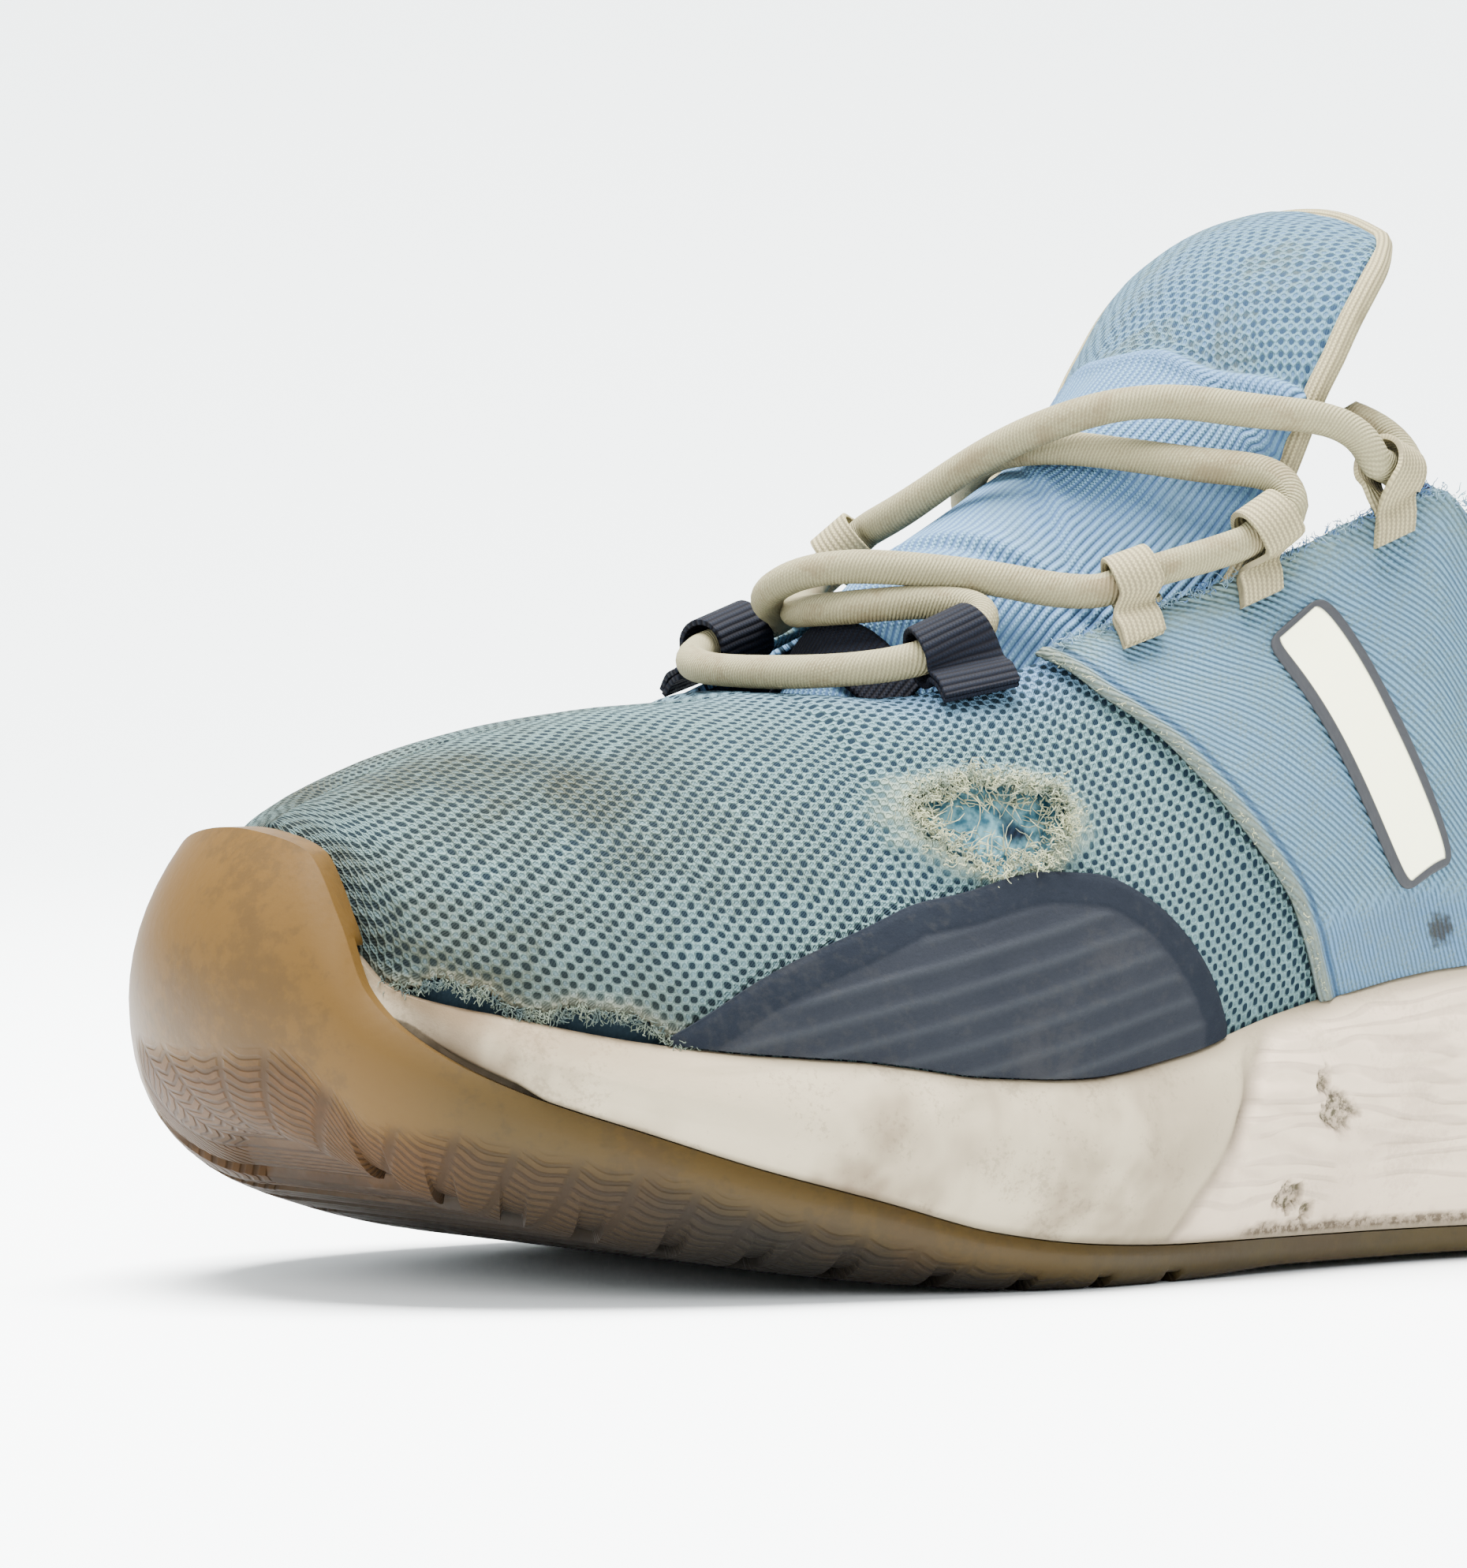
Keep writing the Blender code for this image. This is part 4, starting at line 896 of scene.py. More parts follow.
def make_loop(name, held, finish):
    """A folded strip: up the side of the upper, over its edge, round the lace and back on itself."""
    side, station, width, *_ = LOOPS[name]
    station, half, lift = station * MM, width * MM / 2, LOOP_LIFT[name.split("_")[0]]
    middle, direction = held[name]
    edge = unit(upper_point(station + 2 * MM, side, 1.0) - upper_point(station - 2 * MM, side, 1.0))
    direction = direction * math.copysign(1, direction @ edge)
    sunk, slack, pinch = (0.7, 0.5, 0.24) if name.startswith("tab") else (0.5, 0.3, 0.10)
    pressed = lift - sunk * MM
    spine = [(off_upper(station, side, v, high), upper_normal(station, side, v))
             for v, high in ((LOOP_FOOT + 0.05, pressed), (0.94, lift), (0.99, lift))]
    reach = middle - spine[-1][0]
    reach = unit(reach - direction * (reach @ direction))
    away = np.cross(direction, reach)
    away *= math.copysign(1, away @ spine[-1][1])      # away from the upper
    radius = LACE_RADIUS + LOOP_SLACK / 2 + WEBBING / 2 + slack * MM
    legs = WEBBING / 2, (WEBBING + FIT) / 2, (WEBBING + FIT) / 2
    spine = [(point, normal * leg) for (point, normal), leg in zip(spine, legs)]
    path = [np.concatenate([point - offset, edge * MM]) for point, offset in spine]
    path += [np.concatenate([middle + (reach * math.cos(a) + away * math.sin(a)) * radius, direction * MM])
             for a in np.radians(np.linspace(-LOOP_WRAP, LOOP_WRAP, 12))]
    path += [np.concatenate([point + offset, edge * MM]) for point, offset in reversed(spine)]
    path = smooth_route(np.array(path), 0.7 * MM)
    wide = unit(path[:, 3:])[:, None]
    t = np.linspace(-1, 1, 12)[None, :, None]
    wrap = np.exp(-((np.linspace(-1, 1, len(path)) / 0.35) ** 2))[:, None, None]
    points = path[:, None, :3] + wide * t * half * (1 - pinch * wrap)
    piece = sheet("strip_" + name, points, finish)
    add_wall(piece, WEBBING, 0)
    soft = piece.modifiers.new("soft_edge", "BEVEL")
    soft.affect = "EDGES"
    soft.width = 0.18 * MM
    soft.segments = 2
    soft.profile = 0.5
    soft.material = -1
    soft.limit_method = "ANGLE"
    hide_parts(name)


def settle(route, kept):
    """Evens out the small bends of a route, away from the places that are kept."""
    near = np.min([np.linalg.norm(route - place_, axis=1) for place_ in kept], axis=0)
    free = ease(near, LACE_KEPT, LACE_FREE)[:, None]
    free[[0, -1]] = 0
    for _ in range(LACE_EVENING):
        middle = route.copy()
        middle[1:-1] = (route[:-2] + route[2:]) / 2
        route = route + (middle - route) * 0.6 * free
    return route


def make_lace(finish):
    points, held = lace_points()
    route = settle(smooth_route(points, 1.3 * MM), [middle for middle, _ in held.values()])
    reach = np.linalg.norm(route - route[0], axis=1), np.linalg.norm(route - route[-1], axis=1)
    cap = np.sqrt(1 - (1 - np.clip(np.minimum(*reach) / (1.6 * MM), 0.02, 1)) ** 2)
    walked = walked_along(route) / MM
    radius = 0.95 * LACE_RADIUS * cap * (1 + 0.025 * np.sin(walked / 9) + 0.02 * np.sin(walked / 3.7))
    tube = tube_points(route, radius, LACE_SIDES)
    u = np.broadcast_to(walked[:, None], tube.shape[:2])
    v = np.broadcast_to(np.linspace(0, 1, LACE_SIDES + 1)[None, :] * LACE_ROUND, tube.shape[:2])
    piece = sheet("lace_cord", tube, finish, uv=np.stack([u, v], -1), weld=True, closed=True)
    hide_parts("lace")
    return held


# ---------------------------------------------------------------- frayed yarns

def yarns(places, outward, drift, count, length, curl, spread):
    """Short wandering yarns that start at random places; drift leans them, curl bends them."""
    routes = []
    picks = rng.integers(0, len(places), count)
    for pick in picks:
        start = places[pick] + rng.normal(0, spread, 3)
        way = unit(outward[pick] * 0.8 + drift[pick] * rng.uniform(0.4, 1.2) + rng.normal(0, 0.55, 3))
        step = length * rng.uniform(0.5, 1.3) / 5
        route = [start - way * step * 0.6, start]
        for _ in range(4):
            way = unit(way + rng.normal(0, curl, 3))
            route.append(route[-1] + way * step)
        routes.append(np.array(route))
    return routes


COLLAR_FRAY = (128, 186)       # stations of the frayed top edge


def make_fray(pale, blue, grey):
    angle = np.linspace(0, math.tau, 160)
    at, up, long, high = HOLE
    spots, outs, drifts = [], [], []
    for a in angle:
        for grow in np.arange(0.5, 1.6, 0.02):
            s, v = (at + long * grow * math.cos(a)) * MM, up + high * grow * math.sin(a)
            if hole_edge(s, v) > 1.0:
                break
        spots.append(off_upper(s, 1.0, v, 1.0 * MM))
        outs.append(upper_normal(s, 1.0, v))
        middle = off_upper(at * MM, 1.0, up, 0.0)
        drifts.append(unit(middle - spots[-1]))
    spots, outs, drifts = map(np.array, (spots, outs, drifts))
    rim = yarns(spots, outs * 0.25, drifts * 0.6, 620, 2.0 * MM, 0.6, 0.6 * MM)
    rim += yarns(spots - drifts * 0.8 * MM, outs * 0.2, drifts * 0.1, 520, 1.5 * MM, 0.6, 0.8 * MM)
    within = spots + drifts * 1.5 * MM - outs * MM
    rim += yarns(within, outs * 0.15, drifts * 1.2, 120, 5.0 * MM, 0.35, 0.5 * MM)
    strands("hole_fray", rim, 0.10 * MM, pale)
    station = np.linspace(TORN[0] + 2, TORN[1] - 1, 260) * MM
    v = torn_height(station)
    spots = off_upper(station, 1.0, v, 0.75 * MM + 0 * v)
    outs = upper_normal(station, 1.0, v)
    drifts = np.broadcast_to([0, 0, -1.0], spots.shape)
    foot = yarns(spots, outs * 0.3, drifts, 760, 1.3 * MM, 0.45, 0.4 * MM)
    strands("foot_fray", foot, 0.09 * MM, grey)
    station = np.linspace(*COLLAR_FRAY, 300) * MM
    gapped = np.interp(station / MM, COLLAR_FRAY, [1.0, 0.985])
    spots = off_upper(station, 1.0, gapped, 2.0 * MM + 0 * station)
    outs = upper_normal(station, 1.0, gapped)
    drifts = np.broadcast_to([0, 0, 1.0], spots.shape)
    top = yarns(spots, outs * 0.5, drifts * 0.5, 520, 1.5 * MM, 0.6, 0.4 * MM)
    strands("collar_fray", top, 0.09 * MM, blue)
    v = np.linspace(0.02, 0.96, 200)
    seam = QUARTER_SEAM.at("station", v) - 0.6 * MM
    spots = off_upper(seam, 1.0, v, 1.6 * MM + 0 * v)
    outs = upper_normal(seam, 1.0, v)
    drifts = np.broadcast_to([0, -1.0, 0], spots.shape)
    sewn = yarns(spots, outs * 0.4, drifts * 0.5, 150, 0.9 * MM, 0.5, 0.25 * MM)
    strands("seam_fray", sewn, 0.07 * MM, pale)


# ---------------------------------------------------------------- shader nodes

STUDIO = 4.6            # light on the shoe's side, times a plain white surface's
FILM_GREY = 0.18
FILM_LIFT = 0.16        # stops by which the film curve is lighter than its middle
FILM_LIGHTS, FILM_DARKS = 0.62, 0.48      # its steepness above and below middle grey
FILM_FADE = 0.08        # colour that the film curve takes away
TREAD_COLUMN = 7.3      # mm between the tread pattern's columns
TREAD_ROW = 1.55        # mm between its rows
TREAD_DEPTH = 3.2       # mm below its start at which the tread pattern is at its full depth
WAIST_LINE = 2.6        # mm between the carved lines in the foam's waist
STAIN = (10.2, 41.0)    # y and z of the stain on the outer quarter, in mm


def tint(red, green, blue):
    """Paint that looks like these display values (0 to 255) under the studio light and the film curve."""
    c = np.clip(np.array([red, green, blue]) / 255, 0.02, 0.97)
    c = np.clip(c + (c - c.mean()) * FILM_FADE, 0.02, 0.97)
    stops = np.log(c / (1 - c)) + FILM_LIFT
    paint = FILM_GREY * 2 ** (stops / np.where(stops > 0, FILM_LIGHTS, FILM_DARKS)) / STUDIO
    return (*(float(x) for x in np.clip(paint, 0.002, 0.9)), 1.0)


class Nodes:
    """Adds nodes to a tree. A value is a number, another node's socket, or a colour: three display values
    (0 to 255), which become paint, or four plain ones."""

    def __init__(self, tree):
        self.tree = tree

    def put(self, socket, value):
        if isinstance(value, bpy.types.NodeSocket):
            self.tree.links.new(value, socket)
        elif value is not None:
            display = socket.type == "RGBA" and len(value) == 3
            socket.default_value = tint(*value) if display else value

    def add(self, kind, *values, **settings):
        node = self.tree.nodes.new("ShaderNode" + kind)
        for key, value in settings.items():
            setattr(node, key, value)
        for socket, value in zip(node.inputs, values):
            self.put(socket, value)
        return node

    def fill(self, node, **values):
        for label, value in values.items():
            self.put(node.inputs[label.replace("_", " ")], value)
        return node.outputs

    def math(self, operation, a, b=None, c=None):
        return self.add("Math", a, b, c, operation=operation).outputs[0]

    def times(self, a, b):
        return self.math("MULTIPLY", a, b)

    def plus(self, a, b):
        return self.math("ADD", a, b)

    def minus(self, a, b):
        return self.math("SUBTRACT", a, b)

    def line(self, x, slope, start):
        return self.math("MULTIPLY_ADD", x, slope, start)

    def smooth(self, x, low, high):
        """0 at low, 1 at high, eased between."""
        node = self.add("MapRange", interpolation_type="SMOOTHSTEP")
        return self.fill(node, Value=x, From_Min=low, From_Max=high)[0]

    def mix(self, factor, a, b, blend="MIX"):
        node = self.add("Mix", data_type="RGBA", blend_type=blend)
        for place_, value in ((0, factor), (6, a), (7, b)):
            self.put(node.inputs[place_], value)
        return node.outputs[2]

    def coat(self, under, mask, share, colour):
        """A colour laid over another where the mask is, by its share."""
        return self.mix(self.times(mask, share), under, colour)

    def noise(self, vector, scale, detail=2.0, roughness=0.5, warp=0.0):
        return self.fill(self.add("TexNoise"), Vector=vector, Scale=scale, Detail=detail, Roughness=roughness,
                         Distortion=warp)[0]

    def blotches(self, vector, scale, first, second, detail=2.0, roughness=0.5):
        """Two colours that drift into each other."""
        return self.mix(self.noise(vector, scale, detail, roughness), first, second)

    def fuzzed(self, base, vector, low, high):
        """A colour that varies from fibre to fibre."""
        fibre = self.mix(self.noise(vector, 2.4, 3.0, 0.7), (low, low, low, 1), (high, high, high, 1))
        return self.mix(1.0, base, fibre, "MULTIPLY")

    def turns(self, x, pitch):
        """Cosine with one turn for each pitch."""
        return self.math("COSINE", self.times(self.math("DIVIDE", x, pitch), math.tau))

    def wave(self, x, pitch):
        """0 to 1 and back over each pitch."""
        return self.line(self.turns(x, pitch), 0.5, 0.5)

    def mask(self, label):
        return self.add("Attribute", attribute_name=label).outputs["Fac"]

    def masks(self, labels):
        return [self.mask(label) for label in labels.split()]

    def split(self, vector):
        return self.add("SeparateXYZ", vector).outputs

    def scaled(self, vector, size):
        return self.fill(self.add("VectorMath", vector, operation="SCALE"), Scale=size)[0]

    def knit(self):
        """The piece's own flat coordinates, in mm."""
        return self.add("UVMap", uv_map="knit").outputs[0]

    def spot(self):
        """Places on the object, in mm."""
        return self.scaled(self.add("TexCoord").outputs["Object"], 1000)

    def use(self, tree, **values):
        node = self.tree.nodes.new("ShaderNodeGroup")
        node.node_tree = tree
        return self.fill(node, **values)


class Finish(Nodes):
    """A new material's nodes."""

    def __init__(self, name):
        self.made = bpy.data.materials.new(name)
        self.made.use_nodes = True
        super().__init__(self.made.node_tree)
        self.shader = self.tree.nodes["Principled BSDF"]

    def done(self, colour, roughness, height, strength, distance, gloss=0.1):
        bump = self.add("Bump")
        bump.inputs["Strength"].default_value = strength
        bump.inputs["Distance"].default_value = distance
        self.shader.inputs["Specular IOR Level"].default_value = gloss
        self.fill(bump, Height=height)
        self.fill(self.shader, Base_Color=colour, Roughness=roughness, Normal=bump.outputs[0])
        return self.made


def group(name, inputs, outputs):
    tree = bpy.data.node_groups.new(name, "ShaderNodeTree")
    for label, default in inputs.items():
        kind = "NodeSocketVector" if default is None else "NodeSocketFloat"
        socket = tree.interface.new_socket(name=label, in_out="INPUT", socket_type=kind)
        if default is not None:
            socket.default_value = default
    for label in outputs:
        tree.interface.new_socket(name=label, in_out="OUTPUT", socket_type="NodeSocketFloat")
    given, result = tree.nodes.new("NodeGroupInput").outputs, tree.nodes.new("NodeGroupOutput").inputs
    return tree, Nodes(tree), given, result


def mesh_group():
    """Open mesh: staggered holes between knitted threads."""
    sizes = {"Vector": None, "Pitch U": 2.7, "Pitch V": 2.9, "Open": 0.35}
    tree, n, given, result = group("open_mesh", sizes, ("Hole", "Dimple", "Height"))
    vector, opening = given["Vector"], given["Open"]
    warp = n.fill(n.add("TexNoise"), Vector=vector, Scale=0.16)
    offset = n.add("VectorMath", warp["Color"], (0.5, 0.5, 0.5), operation="SUBTRACT").outputs[0]
    u, v, _ = n.split(n.add("VectorMath", vector, n.scaled(offset, 1.8), operation="ADD").outputs[0])
    lattice = n.times(n.turns(u, given["Pitch U"]), n.turns(v, given["Pitch V"]))
    field = n.plus(lattice, n.line(n.noise(vector, 1.1, 1.0), 0.24, -0.12))
    n.put(result["Hole"], n.smooth(field, n.minus(opening, 0.1), n.plus(opening, 0.12)))
    n.put(result["Dimple"], n.smooth(field, -0.45, -0.85))
    ply = n.wave(n.plus(n.times(u, 1.2), v), 0.42)
    body = n.smooth(field, n.plus(opening, 0.1), n.minus(opening, 0.55))
    n.put(result["Height"], n.minus(n.line(ply, 0.14, body), n.times(n.smooth(field, -0.4, -0.9), 0.5)))
    return tree


def rib_group():
    """Fine ribs turned by an angle, crossed by rows of stitches."""
    sizes = {"Vector": None, "Pitch": 1.0, "Angle": 0.0, "Cross": 0.6}
    tree, n, given, result = group("ribs", sizes, ("Rib", "Row", "Height"))
    vector, pitch, cross = given["Vector"], given["Pitch"], given["Cross"]
    wander = n.line(n.noise(vector, 0.12, 1.0), 1.6, -0.8)
    u, v, _ = n.split(vector)
    cosine, sine = n.math("COSINE", given["Angle"]), n.math("SINE", given["Angle"])
    over = n.plus(n.times(u, cosine), n.times(v, sine))
    along = n.minus(n.times(v, cosine), n.times(u, sine))
    rib = n.wave(n.line(wander, 0.25, over), pitch)
    shift = n.times(n.math("FLOOR", n.math("DIVIDE", over, pitch)), 0.5)
    row = n.wave(n.line(shift, cross, along), cross)
    n.put(result["Rib"], rib)
    n.put(result["Row"], row)
    n.put(result["Height"], n.times(n.math("POWER", rib, 0.7), n.line(row, 0.4, 0.6)))
    return tree


def grime_group():
    """Blotches with soft and with speckled edges."""
    sizes = {"Vector": None, "Size": 20.0, "Amount": 0.5}
    tree, n, given, result = group("grime", sizes, ("Soft", "Speckled"))
    vector, size = given["Vector"], given["Size"]
    big = n.noise(vector, n.math("DIVIDE", 1.0, size), 4.0, 0.6, 0.4)
    fine = n.noise(vector, n.math("DIVIDE", 14.0, size), 3.0, 0.7)
    low = n.minus(0.72, n.times(given["Amount"], 0.4))
    n.put(result["Soft"], n.smooth(big, low, n.plus(low, 0.22)))
    n.put(result["Speckled"], n.smooth(n.line(fine, 0.45, n.times(big, 0.62)), low, n.plus(low, 0.1)))
    return tree


open_mesh, ribs, grime = mesh_group(), rib_group(), grime_group()


def mesh_material():
    n = Finish("mesh_knit")
    uv = n.knit()
    cell = n.use(open_mesh, Vector=uv, Pitch_U=2.05, Pitch_V=2.15, Open=0.28)
    dirt, worn, throat, torn = n.masks("dirt worn throat torn")
    blotch = n.use(grime, Vector=uv, Size=26.0, Amount=0.55)
    thread = n.blotches(uv, 0.05, (166, 192, 196), (180, 200, 198))
    thread = n.coat(thread, throat, 0.7, (146, 184, 210))
    thread = n.coat(thread, dirt, n.line(blotch["Soft"], 0.4, 0.7), (138, 142, 124))
    thread = n.coat(thread, blotch["Speckled"], n.line(dirt, 0.5, 0.12), (112, 116, 98))
    thread = n.coat(thread, cell["Dimple"], 0.4, (96, 132, 152))
    hole = n.mix(dirt, (36, 66, 84), (44, 56, 54))
    hole = n.mix(worn, hole, (110, 160, 172))
    shown = n.times(cell["Hole"], n.line(worn, -0.75, 1.0))
    shown = n.times(shown, n.line(torn, -0.6, 1.0))
    thread = n.coat(thread, worn, 0.8, (204, 208, 194))
    thread = n.coat(thread, torn, 0.7, (178, 174, 152))
    colour = n.mix(shown, n.fuzzed(thread, uv, 0.78, 1.12), hole)
    return n.done(colour, n.line(cell["Hole"], 0.1, 0.82), cell["Height"], 0.9, 0.0007)


def quarter_material():
    n = Finish("ribbed_knit")
    uv = n.knit()
    low, gap, top, outer = n.masks("low gap top outer")
    knit = n.use(ribs, Vector=uv, Pitch=1.0, Angle=-0.5, Cross=0.62)
    plain = n.use(ribs, Vector=uv, Pitch=0.8, Angle=0.0, Cross=0.5)
    foot = n.smooth(low, 0.22, 0.12)
    rib = n.mix(foot, knit["Rib"], plain["Rib"])
    height = n.plus(n.times(knit["Height"], n.minus(1.0, foot)), n.times(plain["Height"], n.times(foot, 0.6)))
    blotch = n.use(grime, Vector=uv, Size=22.0, Amount=0.5)
    crest = n.blotches(uv, 0.06, (152, 190, 208), (172, 200, 206))
    crest = n.coat(crest, foot, 0.6, (140, 178, 204))
    valley = n.blotches(uv, 0.3, (112, 148, 172), (124, 152, 164))
    base = n.mix(n.smooth(rib, 0.1, 0.7), valley, crest)
    fleck = n.times(knit["Row"], n.smooth(n.noise(uv, 0.35, 3.0, 0.7), 0.42, 0.62))
    base = n.coat(base, fleck, 0.55, (160, 178, 178))
    base = n.coat(base, blotch["Soft"], 0.35, (150, 170, 176))
    base = n.coat(base, top, n.line(blotch["Speckled"], 0.5, 0.3), (178, 190, 182))
    hem = n.blotches(uv, 1.2, (150, 160, 150), (184, 188, 172), 3.0)
    base = n.coat(base, n.smooth(gap, 2.5, 1.5), 0.8, hem)
    stitching = n.smooth(n.math("ABSOLUTE", n.minus(gap, 2.9)), 0.7, 0.2)
    base = n.coat(base, stitching, 0.7, (70, 104, 140))
    _, y, z = n.split(n.spot())
    away = n.math("SQRT", n.plus(*(n.math("POWER", n.minus(x, at), 2.0) for x, at in zip((y, z), STAIN))))
    stain = n.times(n.smooth(n.plus(away, n.times(n.noise(uv, 0.9), 3.0)), 4.4, 2.4), outer)
    base = n.coat(base, stain, 0.85, (84, 76, 60))
    return n.done(n.fuzzed(base, uv, 0.82, 1.1), 0.85, height, 0.85, 0.00045)


def tongue_material():
    n = Finish("tongue_knit")
    uv = n.knit()
    sleeve, hem = n.masks("sleeve hem")
    knit = n.use(ribs, Vector=uv, Pitch=1.15, Angle=math.pi / 2, Cross=0.5)
    cell = n.use(open_mesh, Vector=uv, Pitch_U=2.1, Pitch_V=2.2, Open=0.42)
    blotch = n.use(grime, Vector=uv, Size=24.0, Amount=0.5)
    rib = n.mix(n.smooth(knit["Rib"], 0.12, 0.7), (134, 170, 198), (170, 199, 212))
    rib = n.coat(rib, blotch["Soft"], 0.5, (166, 188, 192))
    rib = n.coat(rib, hem, 0.6, (150, 182, 204))
    net = n.blotches(uv, 0.05, (138, 175, 195), (154, 183, 188))
    net = n.coat(net, cell["Dimple"], 0.5, (96, 140, 184))
    net = n.coat(net, cell["Hole"], 0.9, (48, 84, 118))
    net = n.coat(net, blotch["Speckled"], 0.4, (150, 160, 140))
    height = n.plus(n.times(knit["Height"], sleeve), n.times(cell["Height"], n.minus(1.0, sleeve)))
    return n.done(n.fuzzed(n.mix(sleeve, net, rib), uv, 0.85, 1.1), 0.85, height, 0.8, 0.0005)


def woven_material(name, light, dark, dirt, pitch, cross, angle, soiled):
    """Ribbon, webbing, lining or cord: ribs and rows in two tones, soiled in blotches."""
    n = Finish(name)
    uv = n.knit()
    weave = n.use(ribs, Vector=uv, Pitch=pitch, Angle=angle, Cross=cross)
    blotch = n.use(grime, Vector=uv, Size=9.0, Amount=soiled)
    tone = n.times(weave["Height"], n.line(weave["Row"], 0.4, 0.6))
    base = n.mix(n.smooth(tone, 0.05, 0.75), dark, light)
    base = n.coat(base, blotch["Soft"], 0.6, dirt)
    base = n.coat(base, blotch["Speckled"], 0.35, dirt)
    return n.done(n.fuzzed(base, uv, 0.86, 1.08), 0.82, weave["Height"], 0.6, 0.0003)


def lining_material():
    n = Finish("inner_textile")
    uv = n.knit()
    teal, station = n.masks("teal station")
    weave = n.use(ribs, Vector=uv, Pitch=0.9, Angle=0.6, Cross=0.9)
    base = n.mix(n.smooth(weave["Height"], 0.1, 0.8), (26, 42, 62), (46, 66, 92))
    pale = n.mix(n.smooth(n.noise(uv, 0.5, 3.0), 0.35, 0.65), (78, 132, 152), (168, 200, 204))
    base = n.mix(n.smooth(station, 232, 246), base, (58, 80, 92))
    base = n.coat(base, teal, n.smooth(n.noise(uv, 0.16), 0.3, 0.5), pale)
    return n.done(n.fuzzed(base, uv, 0.8, 1.1), 0.9, weave["Height"], 0.5, 0.0003)


def overlay_material():
    n = Finish("navy_overlay")
    uv = n.knit()
    border, ridge = n.masks("border ridge")
    blotch = n.use(grime, Vector=uv, Size=20.0, Amount=0.5)
    field = n.blotches(uv, 0.12, (64, 69, 80), (82, 86, 94), 3.0, 0.6)
    base = n.mix(border, field, n.blotches(uv, 0.4, (48, 55, 68), (62, 69, 80), 3.0))
    base = n.coat(base, ridge, 0.6, (98, 102, 108))
    base = n.coat(base, blotch["Soft"], 0.35, (104, 104, 110))
    base = n.coat(base, blotch["Speckled"], 0.16, (112, 110, 106))
    nap = n.noise(uv, 2.2, 4.0, 0.75)
    colour = n.mix(1.0, base, n.mix(nap, (0.8, 0.8, 0.8, 1), (1.12, 1.12, 1.12, 1)), "MULTIPLY")
    return n.done(colour, 0.88, nap, 0.5, 0.0004, 0.05)


def panel_material():
    n = Finish("side_panel_film")
    uv, border = n.knit(), n.mask("border")
    blotch = n.use(grime, Vector=uv, Size=12.0, Amount=0.35)
    white = n.coat((238, 238, 232), blotch["Soft"], 0.3, (214, 210, 198))
    base = n.mix(border, white, n.blotches(uv, 0.8, (70, 72, 80), (92, 94, 98)))
    return n.done(base, n.line(border, 0.25, 0.45), n.noise(uv, 1.6, 3.0), 0.15, 0.0003, 0.3)


def gum_material():
    n = Finish("gum_rubber")
    spot = n.spot()
    down, around, start, station = n.masks("down around start station")
    blotch = n.use(grime, Vector=spot, Size=30.0, Amount=0.5)
    toe, fore, waist = n.smooth(station, 268, 284), n.smooth(station, 238, 272), n.smooth(station, 214, 168)
    amber = n.blotches(spot, 0.03, (112, 90, 40), (98, 80, 38))
    amber = n.mix(waist, amber, (102, 87, 46))
    amber = n.mix(toe, amber, (136, 105, 50))
    tread = n.blotches(spot, 0.04, (50, 44, 34), (60, 52, 40))
    tread = n.mix(fore, tread, (92, 72, 46))
    tread = n.mix(toe, tread, (118, 88, 52))
    tread = n.mix(waist, tread, (88, 76, 46))
    under = n.minus(down, start)
    face = n.smooth(under, 0.0, TREAD_DEPTH)
    scale = n.wave(n.plus(around, n.times(down, 0.3)), TREAD_COLUMN)
    level = n.plus(n.times(scale, 0.9), n.plus(down, n.times(n.noise(spot, 0.2), 0.8)))
    row = n.smooth(n.wave(level, TREAD_ROW), 0.4, 1.0)
    cut = n.times(n.math("MAXIMUM", row, n.smooth(scale, 0.86, 1.0)), face)
    base = n.mix(n.smooth(under, -1.0, 5.0), amber, tread)
    # Painted shade: the tread's cuts are darkened in colour as well as sunk by the bump.
    base = n.coat(base, cut, 0.42, (40, 30, 22))
    base = n.coat(base, blotch["Soft"], 0.35, (104, 78, 42))
    base = n.coat(base, blotch["Speckled"], 0.25, (66, 56, 40))
    height = n.minus(n.times(n.noise(spot, 0.8, 3.0), 0.15), n.times(cut, 0.8))
    return n.done(base, n.line(face, 0.22, 0.5), height, 0.7, 0.0004, 0.12)


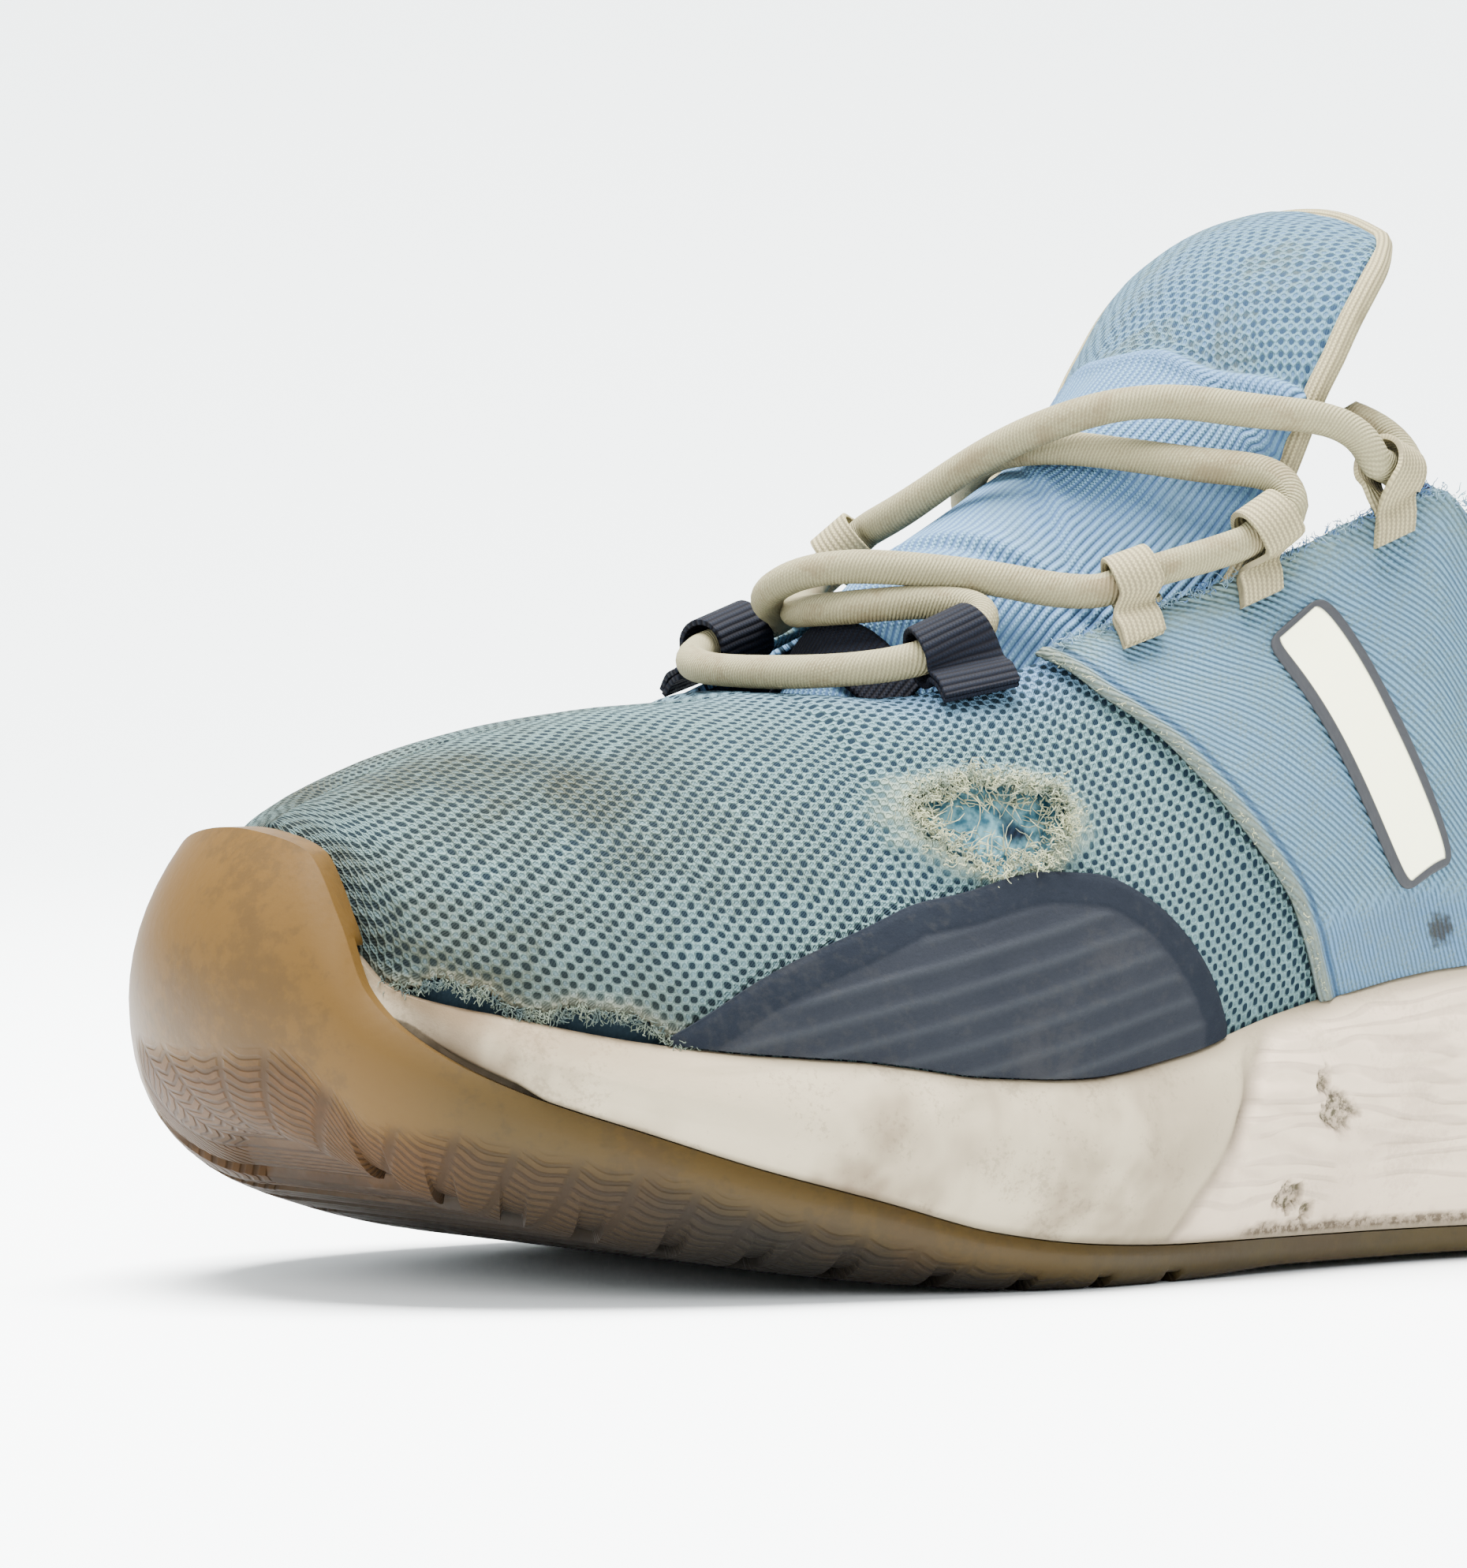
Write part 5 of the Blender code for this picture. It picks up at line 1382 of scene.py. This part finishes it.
def foam_material():
    n = Finish("foam")
    spot = n.spot()
    scar, tear, waist, crease, low, station = n.masks("scar tear waist crease low station")
    soft = n.use(grime, Vector=spot, Size=34.0, Amount=0.6)
    small = n.use(grime, Vector=spot, Size=9.0, Amount=0.4)
    x, y, z = n.split(spot)
    stretched = n.add("CombineXYZ", x, n.times(y, 0.25), z).outputs[0]
    streak = n.use(grime, Vector=stretched, Size=12.0, Amount=0.45)
    front = n.smooth(station, 170, 200)
    base = n.mix(waist, (214, 209, 196), (226, 221, 213))
    base = n.coat(base, soft["Soft"], n.line(front, 0.75, 0.2), (172, 158, 136))
    base = n.coat(base, streak["Soft"], n.times(front, 0.55), (158, 148, 126))
    base = n.coat(base, small["Speckled"], n.line(front, 0.2, 0.15), (160, 148, 126))
    toe = n.times(n.smooth(station, 232, 262), n.smooth(low, 0.7, 0.1))
    base = n.coat(base, toe, 0.5, (150, 122, 80))
    base = n.coat(base, n.smooth(low, 0.1, 0.0), 0.45, (128, 112, 92))
    base = n.coat(base, n.smooth(low, 0.93, 1.0), 0.55, (96, 80, 58))
    chips = n.smooth(n.noise(spot, 0.9, 4.0, 0.7), 0.4, 0.6)
    base = n.coat(base, scar, n.line(chips, 0.6, 0.35), (112, 108, 84))
    base = n.coat(base, tear, n.line(chips, 0.4, 0.5), (112, 98, 78))
    drift = n.times(n.noise(stretched, 0.16, 1.0), 9.0)
    carved = n.smooth(n.wave(n.plus(z, drift), WAIST_LINE), 0.62, 0.95)
    carved = n.times(carved, n.times(waist, n.smooth(z, 7.5, 10.0)))
    carved = n.times(carved, n.smooth(n.noise(spot, 0.09), 0.36, 0.5))
    # Painted shade: the carved lines are darkened in colour as well as sunk by the bump.
    base = n.coat(base, carved, 0.3, (188, 178, 168))
    # Painted shade: the crease's groove is darkened in colour along the groove mask.
    base = n.coat(base, crease, 0.45, (150, 136, 124))
    pores = n.noise(spot, 1.4, 4.0, 0.7)
    height = n.plus(n.times(pores, 0.35), n.times(n.times(chips, scar), 1.4))
    return n.done(base, 0.72, n.minus(height, n.times(carved, 0.9)), 0.35, 0.0006)


def yarn_material(name, light, dark):
    n = Finish(name)
    spot = n.spot()
    tone = n.smooth(n.noise(spot, 0.5, 3.0, 0.6), 0.35, 0.65)
    return n.done(n.mix(tone, dark, light), 0.9, n.noise(spot, 4.0), 0.3, 0.0001)


def insole_material():
    n = Finish("insole_felt")
    spot = n.spot()
    blotch = n.use(grime, Vector=spot, Size=34.0, Amount=0.5)
    nap = n.noise(spot, 2.0, 4.0, 0.75)
    base = n.coat(n.mix(nap, (44, 52, 70), (74, 84, 106)), blotch["Soft"], 0.5, (98, 100, 104))
    return n.done(base, 0.95, nap, 0.5, 0.0005)


# ---------------------------------------------------------------- the shoe

lining = lining_material()
navy = woven_material("navy_ribbon", (32, 41, 60), (16, 21, 36), (58, 62, 74), 0.9, 0.45, 0.0, 0.3)
collar = woven_material("navy_lining", (58, 54, 92), (34, 32, 62), (84, 82, 104), 1.0, 0.9, 0.7, 0.4)
cream = woven_material("cream_webbing", (212, 208, 186), (188, 182, 158), (176, 168, 142), 0.7, 0.5,
                       math.pi / 2, 0.4)
cord = woven_material("cotton_cord", (205, 202, 180), (190, 186, 162), (178, 164, 132), 0.45, 0.5, 0.3, 0.45)
pale_yarn = yarn_material("pale_yarn", (216, 217, 202), (176, 184, 172))
grey_yarn = yarn_material("grey_yarn", (168, 176, 162), (110, 128, 128))
blue_yarn = yarn_material("blue_yarn", (186, 202, 206), (130, 168, 198))

make_outsole(gum_material())
make_midsole(foam_material())
make_vamp(mesh_material(), lining)
make_lining(lining)
make_quarter(quarter_material())
make_patch(overlay_material())
make_panel(panel_material())
make_tongue(tongue_material(), cream)
make_collar(collar)
make_tab(navy)
held = make_lace(cord)
for name in LOOPS:
    make_loop(name, held, navy if name.startswith("tab") else cream)
make_fray(pale_yarn, blue_yarn, grey_yarn)
felt = insole_material()
for slot in bpy.data.objects["insole"].material_slots:
    slot.material = felt


# ---------------------------------------------------------------- floor, light and camera

AZIMUTH, ELEVATION = math.radians(55), math.radians(2)
AIM = np.array([0, -0.068, 0.0593])        # what the camera looks at, in m
AWAY = 1.2                                 # its distance from there, in m
FLOOR_HALF = 3.5
FLOOR_TURNS_UP = 1.1                       # behind the shoe, in m
FLOOR_BEND = 1.6                           # radius of the turn up into the backdrop
FLOOR_UPRIGHT = 2.5                        # behind that line, where the turn ends


def make_floor():
    bm = bmesh.new()
    bmesh.ops.create_grid(bm, x_segments=90, y_segments=90, size=FLOOR_HALF)
    for vert in bm.verts:
        before = vert.co.x * math.sin(AZIMUTH) - vert.co.y * math.cos(AZIMUTH)
        behind = max(0.0, -before - FLOOR_TURNS_UP)
        turned = min(behind / FLOOR_BEND, math.pi / 2)
        vert.co.z = FLOOR_BEND * (1 - math.cos(turned)) + max(0.0, behind - FLOOR_UPRIGHT)
    floor_mesh = bpy.data.meshes.new("studio_floor")
    bm.to_mesh(floor_mesh)
    bm.free()
    floor_mesh.shade_smooth()
    n = Finish("studio_paper")
    paper = n.add("TexCoord").outputs["Object"]
    tone = n.blotches(paper, 1.2, (0.85, 0.885, 0.89, 1), (0.87, 0.90, 0.90, 1))
    n.fill(n.shader, Base_Color=tone, Roughness=0.7)
    floor_mesh.materials.append(n.made)
    floor = bpy.data.objects.new("studio_floor", floor_mesh)
    bpy.context.scene.collection.objects.link(floor)


def soft_light(name, at, aim, size, power, colour):
    lamp = bpy.data.lights.new(name, "AREA")
    lamp.shape = "RECTANGLE"
    lamp.size, lamp.size_y = size
    lamp.energy = power
    lamp.color = colour
    light = bpy.data.objects.new(name, lamp)
    light.location = at
    away = np.array(at, float) - aim
    tilt = math.acos(away[2] / np.linalg.norm(away))
    light.rotation_euler = (tilt, 0, math.atan2(away[1], away[0]) + math.pi / 2)
    bpy.context.scene.collection.objects.link(light)


make_floor()
soft_light("ceiling_softbox", (-0.1, -0.1, 1.5), (0, -0.05, 0.05), (1.1, 1.1), 240, (1.0, 0.99, 0.98))
soft_light("front_softbox", (1.3, -1.2, 0.9), (0, -0.05, 0.05), (1.2, 1.0), 32, (1.0, 1.0, 1.0))
soft_light("side_softbox", (-0.4, -1.6, 0.7), (0, -0.1, 0.05), (1.0, 0.8), 14, (0.98, 1.0, 1.0))
soft_light("backdrop_softbox", (-0.7, 0.5, 1.5), (-2.1, 1.4, 0.5), (1.4, 1.0), 60, (0.94, 1.0, 1.0))
world = bpy.data.worlds.new("studio_world")
world.use_nodes = True
sky = world.node_tree.nodes["Background"].inputs
sky["Color"].default_value = (0.93, 0.97, 1.0, 1)
sky["Strength"].default_value = 1.4
bpy.context.scene.world = world

lens = bpy.data.cameras.new("camera")
lens.lens, lens.sensor_width = 226.4, 36
camera = bpy.data.objects.new("camera", lens)
level, rise = AWAY * math.cos(ELEVATION), AWAY * math.sin(ELEVATION)
camera.location = AIM + [level * math.sin(AZIMUTH), -level * math.cos(AZIMUTH), rise]
camera.rotation_euler = (math.pi / 2 - ELEVATION, 0, AZIMUTH)
bpy.context.scene.collection.objects.link(camera)
bpy.context.scene.camera = camera
